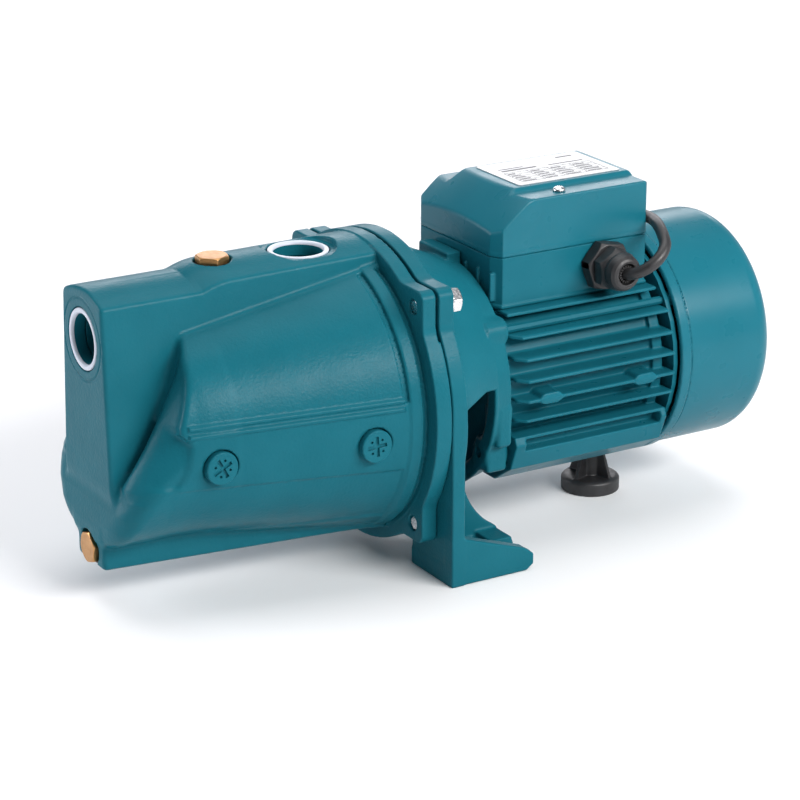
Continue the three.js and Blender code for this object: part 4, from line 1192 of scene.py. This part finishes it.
def make_label():
    """A film with rounded corners, printed with a plain ruled table and blank bars."""
    film = bmesh.new()
    low = LABEL_LOW + (0.4, 0.4, -0.2)
    high = LABEL_HIGH - (0.4, 0.4, 0.35)
    width, depth = high[0] - low[0], high[1] - low[1]
    middle, half = (low + high) / 2, (high - low) / 2 - LABEL_ROUND
    outline = []
    for start, across_sign, along_sign in ((0, 1, 1), (90, -1, 1), (180, -1, -1), (270, 1, -1)):
        for degrees in range(start, start + 91, 15):
            angle = math.radians(degrees)
            outline.append((
                middle[0] + across_sign * half[0] + LABEL_ROUND * math.cos(angle),
                middle[1] + along_sign * half[1] + LABEL_ROUND * math.sin(angle),
            ))

    def plate(corners, bottom, top, slot):
        lower = [film.verts.new(metres((a, b, bottom))) for a, b in corners]
        upper = [film.verts.new(metres((a, b, top))) for a, b in corners]
        faces = [film.faces.new(upper), film.faces.new(lower[::-1])]
        for i in range(len(corners)):
            j = (i + 1) % len(corners)
            faces.append(film.faces.new((lower[i], lower[j], upper[j], upper[i])))
        for face in faces:
            face.material_index = slot

    def print_bar(u0, u1, v0, v1):
        """A printed bar, given in fractions of the film's width and depth."""
        x0, x1 = low[0] + u0 * width, low[0] + u1 * width
        y0, y1 = low[1] + v0 * depth, low[1] + v1 * depth
        plate([(x0, y0), (x1, y0), (x1, y1), (x0, y1)], high[2] - 0.05, high[2] + 0.04, 1)

    plate(outline, low[2], high[2], 0)
    table_low, row_height, rows = 0.10, 0.085, 5
    for row in range(rows + 1):
        v = table_low + row_height * row
        print_bar(0.08, 0.93, v, v + 0.010)
    for u in (0.08, 0.30, 0.50, 0.72, 0.925):
        print_bar(u, u + 0.006, table_low, table_low + row_height * rows)
    lengths = (0.13, 0.09, 0.15, 0.11, 0.07, 0.12, 0.10, 0.14)
    for row in range(rows):
        v = table_low + 0.025 + row_height * row
        for column, u in enumerate((0.10, 0.32, 0.52, 0.74)):
            size = lengths[(row * 3 + column * 5) % len(lengths)]
            print_bar(u, u + size, v, v + 0.028)
    for u0, u1, v0, v1 in (
        (0.10, 0.44, 0.60, 0.645), (0.56, 0.90, 0.60, 0.63),
        (0.10, 0.34, 0.69, 0.715), (0.74, 0.90, 0.84, 0.875),
    ):
        print_bar(u0, u1, v0, v1)
    obj = link_mesh("rating_label_film", [], [], ["label_film", "label_ink"])
    bmesh.ops.recalc_face_normals(film, faces=film.faces)
    film.to_mesh(obj.data)
    film.free()
    stands_for(obj, "pump", "label_film", "rating_label")


make_label()

# ---- Cable gland ----
BOX_SIDE = 45.4


def gland_axes(x, y, z, node):
    """Places across and along the gland, and where a node starts and ends along it."""
    low, high = span(node)
    return x - GLAND[0], z - GLAND[2], -y, -high[1], -low[1]


def gland_body_shape(x, y, z):
    """A hexagon with a flange against the box, and a threaded shank through its wall."""
    u, v, along, back, face = gland_axes(x, y, z, "gland_body")
    head = hex_head(along, u, v, 27, BOX_SIDE, face, 1.2, math.radians(20), 1.0)
    flange_ring = drum(along, u, v, 13.6, BOX_SIDE, BOX_SIDE + 1.6, 0.5)
    thread = threaded(along, u, v, 7.9, 1.5, back, 46)
    return cut(0.4, join(0.5, head, flange_ring, thread), drum(along, u, v, 5.4, 30, 60, 0.2))


def gland_nut_shape(x, y, z):
    """A hexagon that runs into a dome, with a groove between them and a round mouth."""
    u, v, along, back, tip = gland_axes(x, y, z, "gland_nut")
    reach = length(u, v)
    head = hex_head(along, u, v, 23, back, back + 8, 1.0, math.radians(4), 0.9)
    dome = polygon(along, reach, [
        (back + 0.7, 0), (back + 0.7, 11.3), (66, 11.3), (69.6, 10.4), (71.3, 9), (tip, 7.6), (tip, 0),
    ])
    groove = length(along - 64.0, reach - 11.6) - 0.7
    whole = soft_min(head, cut(0.5, dome, groove), 1.2)
    mouth = drum(along, u, v, 6.2, tip - 2.5, tip + 5, 0.9)
    return cut(0.5, whole, drum(along, u, v, 5.6, 40, 80, 0.3), mouth)


def gland_seal_shape(x, y, z):
    """A rubber sleeve whose mouth is notched all round the cord."""
    u, v, along, back, tip = gland_axes(x, y, z, "gland_seal")
    reach = length(u, v)
    sleeve = rounded(reach - 5.25, slab(along, back, tip), 0.4)
    across, out = turned_to(u, v, 18)
    notch = overlap(np.abs(across) - 0.3, 4.1 - out, tip - 1.2 - along)
    return cut(0.2, sleeve, drum(along, u, v, 3.7, 40, 80, 0.2), notch)


cast_node("gland_body", gland_body_shape, 0.42, "black_moulding")
cast_node("gland_nut", gland_nut_shape, 0.36, "black_moulding")
cast_node("gland_seal", gland_seal_shape, 0.24, "rubber")

# ---- Mains plug ----
MAINS_LOW, MAINS_HIGH = span("mains_plug")
PIN_REACH = 18.2
SLIT_PITCH = 2.6
FLUTES = 14


def mains_plug_shape(x, y, z):
    """A moulded plug: a round face, a waisted grip with ribs, and a tapered, slit strain relief."""
    u, v = y - MAINS_AXIS[0], z - MAINS_AXIS[1]
    reach = length(u, v)
    face = MAINS_LOW[0] + PIN_REACH
    tail = MAINS_HIGH[0]
    body = polygon(x, reach, [
        (face, 0), (face, 17.4), (face + 2, 18.2), (face + 12.5, 18.2), (face + 19.5, 14.5),
        (face + 24, 8.4), (tail, 4.9), (tail, 0),
    ])
    behind = x - face - 27
    row = np.clip(np.round(behind / SLIT_PITCH), 0, 4)
    slits = overlap(np.abs(behind - row * SLIT_PITCH) - 0.45, 5.0 - reach, 0.9 - np.abs(u))
    turn = np.arctan2(u, v) * FLUTES / (2 * math.pi)
    grip = (turn - np.round(turn)) * reach * 2 * math.pi / FLUTES
    flute = overlap(length(grip, reach - 18.6) - 1.1, slab(x, face + 3.5, face + 11.5))
    body = cut(0.5, body, slits, flute)
    return cut(0.4, body, drum(x, u, v, 3.7, tail - 4, tail + 5, 0.2))


def plug_pins_shape(x, y, z):
    """Two round pins with bare tips."""
    u, v = np.abs(y - MAINS_AXIS[0]) - 9.5, z - MAINS_AXIS[1]
    face = MAINS_LOW[0] + PIN_REACH
    return drum(x, u, v, 2.3, MAINS_LOW[0], face + 2, 1.4)


plug = cast("mains_plug_shape", mains_plug_shape, MAINS_LOW, MAINS_HIGH, 0.6, "black_moulding")
stands_for(plug, "pump", "black_moulding", "mains_plug")
pins = cast("mains_plug_pins", plug_pins_shape, MAINS_LOW, MAINS_HIGH, 0.5, "zinc")
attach(pins, "pump")
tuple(cord_exit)

# ---- Support foot ----
FOOT_RADIUS = 18
RIB_TOP = -66


def support_foot_shape(x, y, z):
    """A round rubbered foot on a ribbed stem."""
    u, v = x - FOOT[0], y - FOOT[1]
    low, high = span("support_foot")
    reach = length(u, v)
    disc_top = low[2] + 9.2
    disc = rounded(reach - FOOT_RADIUS, slab(z, low[2], disc_top), 0.8)
    disc = soft_max(disc, (reach - FOOT_RADIUS + (z - disc_top + 1.6) * 1.2) * 0.64, 0.8)
    stem = rounded(reach - 5.6, slab(z, disc_top - 2, RIB_TOP + 1.6), 0.5)
    collar = rounded(reach - 7.6, slab(z, RIB_TOP - 1, RIB_TOP + 1.6), 0.5)
    a, b = middle_lines(u, v, math.radians(20))
    taper = 7.4 + (15.2 - 7.4) * (RIB_TOP - z) / (RIB_TOP - disc_top)
    rib = np.maximum(cross(a, b, taper, 1.2) * 0.9, slab(z, disc_top - 1, RIB_TOP + 0.5))
    stud = threaded(z, u, v, 3, 1.0, RIB_TOP, high[2])
    return join(0.6, soft_min(join(1.2, disc, stem, rib), collar, 0.6), stud)


cast_node("support_foot", support_foot_shape, 0.5, "black_moulding")

# ---- Pieces that keep their CAD shape ----
# The tie rods lie open between the fins, so the motor's paint covers them.
for piece in frame["record"]["subparts"]:
    node = frame["nodes"][piece["node"]]
    painted = piece["node"].startswith("tie_rod")
    finish = "teal_paint_motor" if painted else piece["material_slot"]
    if not node.hide_render:
        node.data.materials.clear()
        node.data.materials.append(MATERIALS[finish])


# ---- Studio ----
FLOOR_REACH = 30.0
FLOOR_TONE = (0.88, 0.88, 0.89, 1)
SKY_LOW, SKY_HIGH = (0.62, 0.63, 0.66), (0.26, 0.27, 0.29)
SKY_STRENGTH = (0.25, 0.85)
PUMP_MIDDLE = (0, 0, 0.1)


def make_floor():
    material = bpy.data.materials.new("floor")
    material.use_nodes = True
    shader = material.node_tree.nodes["Principled BSDF"]
    shader.inputs["Base Color"].default_value = FLOOR_TONE
    shader.inputs["Roughness"].default_value = 0.7
    shader.inputs["Specular IOR Level"].default_value = 0.2
    MATERIALS["floor"] = material
    corners = [(a * FLOOR_REACH, b * FLOOR_REACH, 0) for a, b in ((-1, -1), (1, -1), (1, 1), (-1, 1))]
    floor = link_mesh("floor", corners, [(0, 1, 2, 3)], ["floor"])
    floor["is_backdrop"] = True


def area_light(name, place, size, power, colour=(1, 1, 1)):
    """A rectangular lamp aimed at the pump's middle."""
    data = bpy.data.lights.new(name, "AREA")
    data.shape = "RECTANGLE"
    data.size, data.size_y = size
    data.energy = power
    data.color = colour
    light = add_object(name, data)
    light.location = place
    aim = Vector(PUMP_MIDDLE) - Vector(place)
    light.rotation_euler = aim.to_track_quat("-Z", "Y").to_euler()


def make_world():
    """A dim studio, brighter near the floor than overhead, and darker on the suction side."""
    world = bpy.data.worlds.new("studio")
    world.use_nodes = True
    nodes, links = world.node_tree.nodes, world.node_tree.links
    sky = nodes["Background"]
    direction = nodes.new("ShaderNodeTexCoord").outputs["Generated"]
    parts = nodes.new("ShaderNodeSeparateXYZ")
    links.new(direction, parts.inputs["Vector"])
    colour = blend_tones(nodes, links, parts.outputs["Z"], (0, 0.6), (SKY_LOW, SKY_HIGH))
    links.new(colour, sky.inputs["Color"])
    strength = map_range(nodes, links, parts.outputs["X"], (-0.9, 0.3), SKY_STRENGTH)
    links.new(strength, sky.inputs["Strength"])
    bpy.context.scene.world = world


make_floor()
make_world()
area_light("key", (0.50, -1.45, 1.06), (1.3, 0.5), 40, (1, 0.985, 0.97))
area_light("left", (-1.4, 0.95, 0.5), (0.8, 0.8), 17, (0.93, 0.95, 1))
area_light("top", (0.1, 0.45, 2.3), (2.2, 2.0), 34)
area_light("rim", (0.85, 1.5, 0.72), (1.6, 0.5), 9, (0.97, 0.96, 1))
bpy.context.scene.view_settings.view_transform = "Standard"

# ---- Sizes and finish ----
bpy.context.view_layer.update()
[[list(corner) for corner in pair] for pair in (CAD_BOX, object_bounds())]
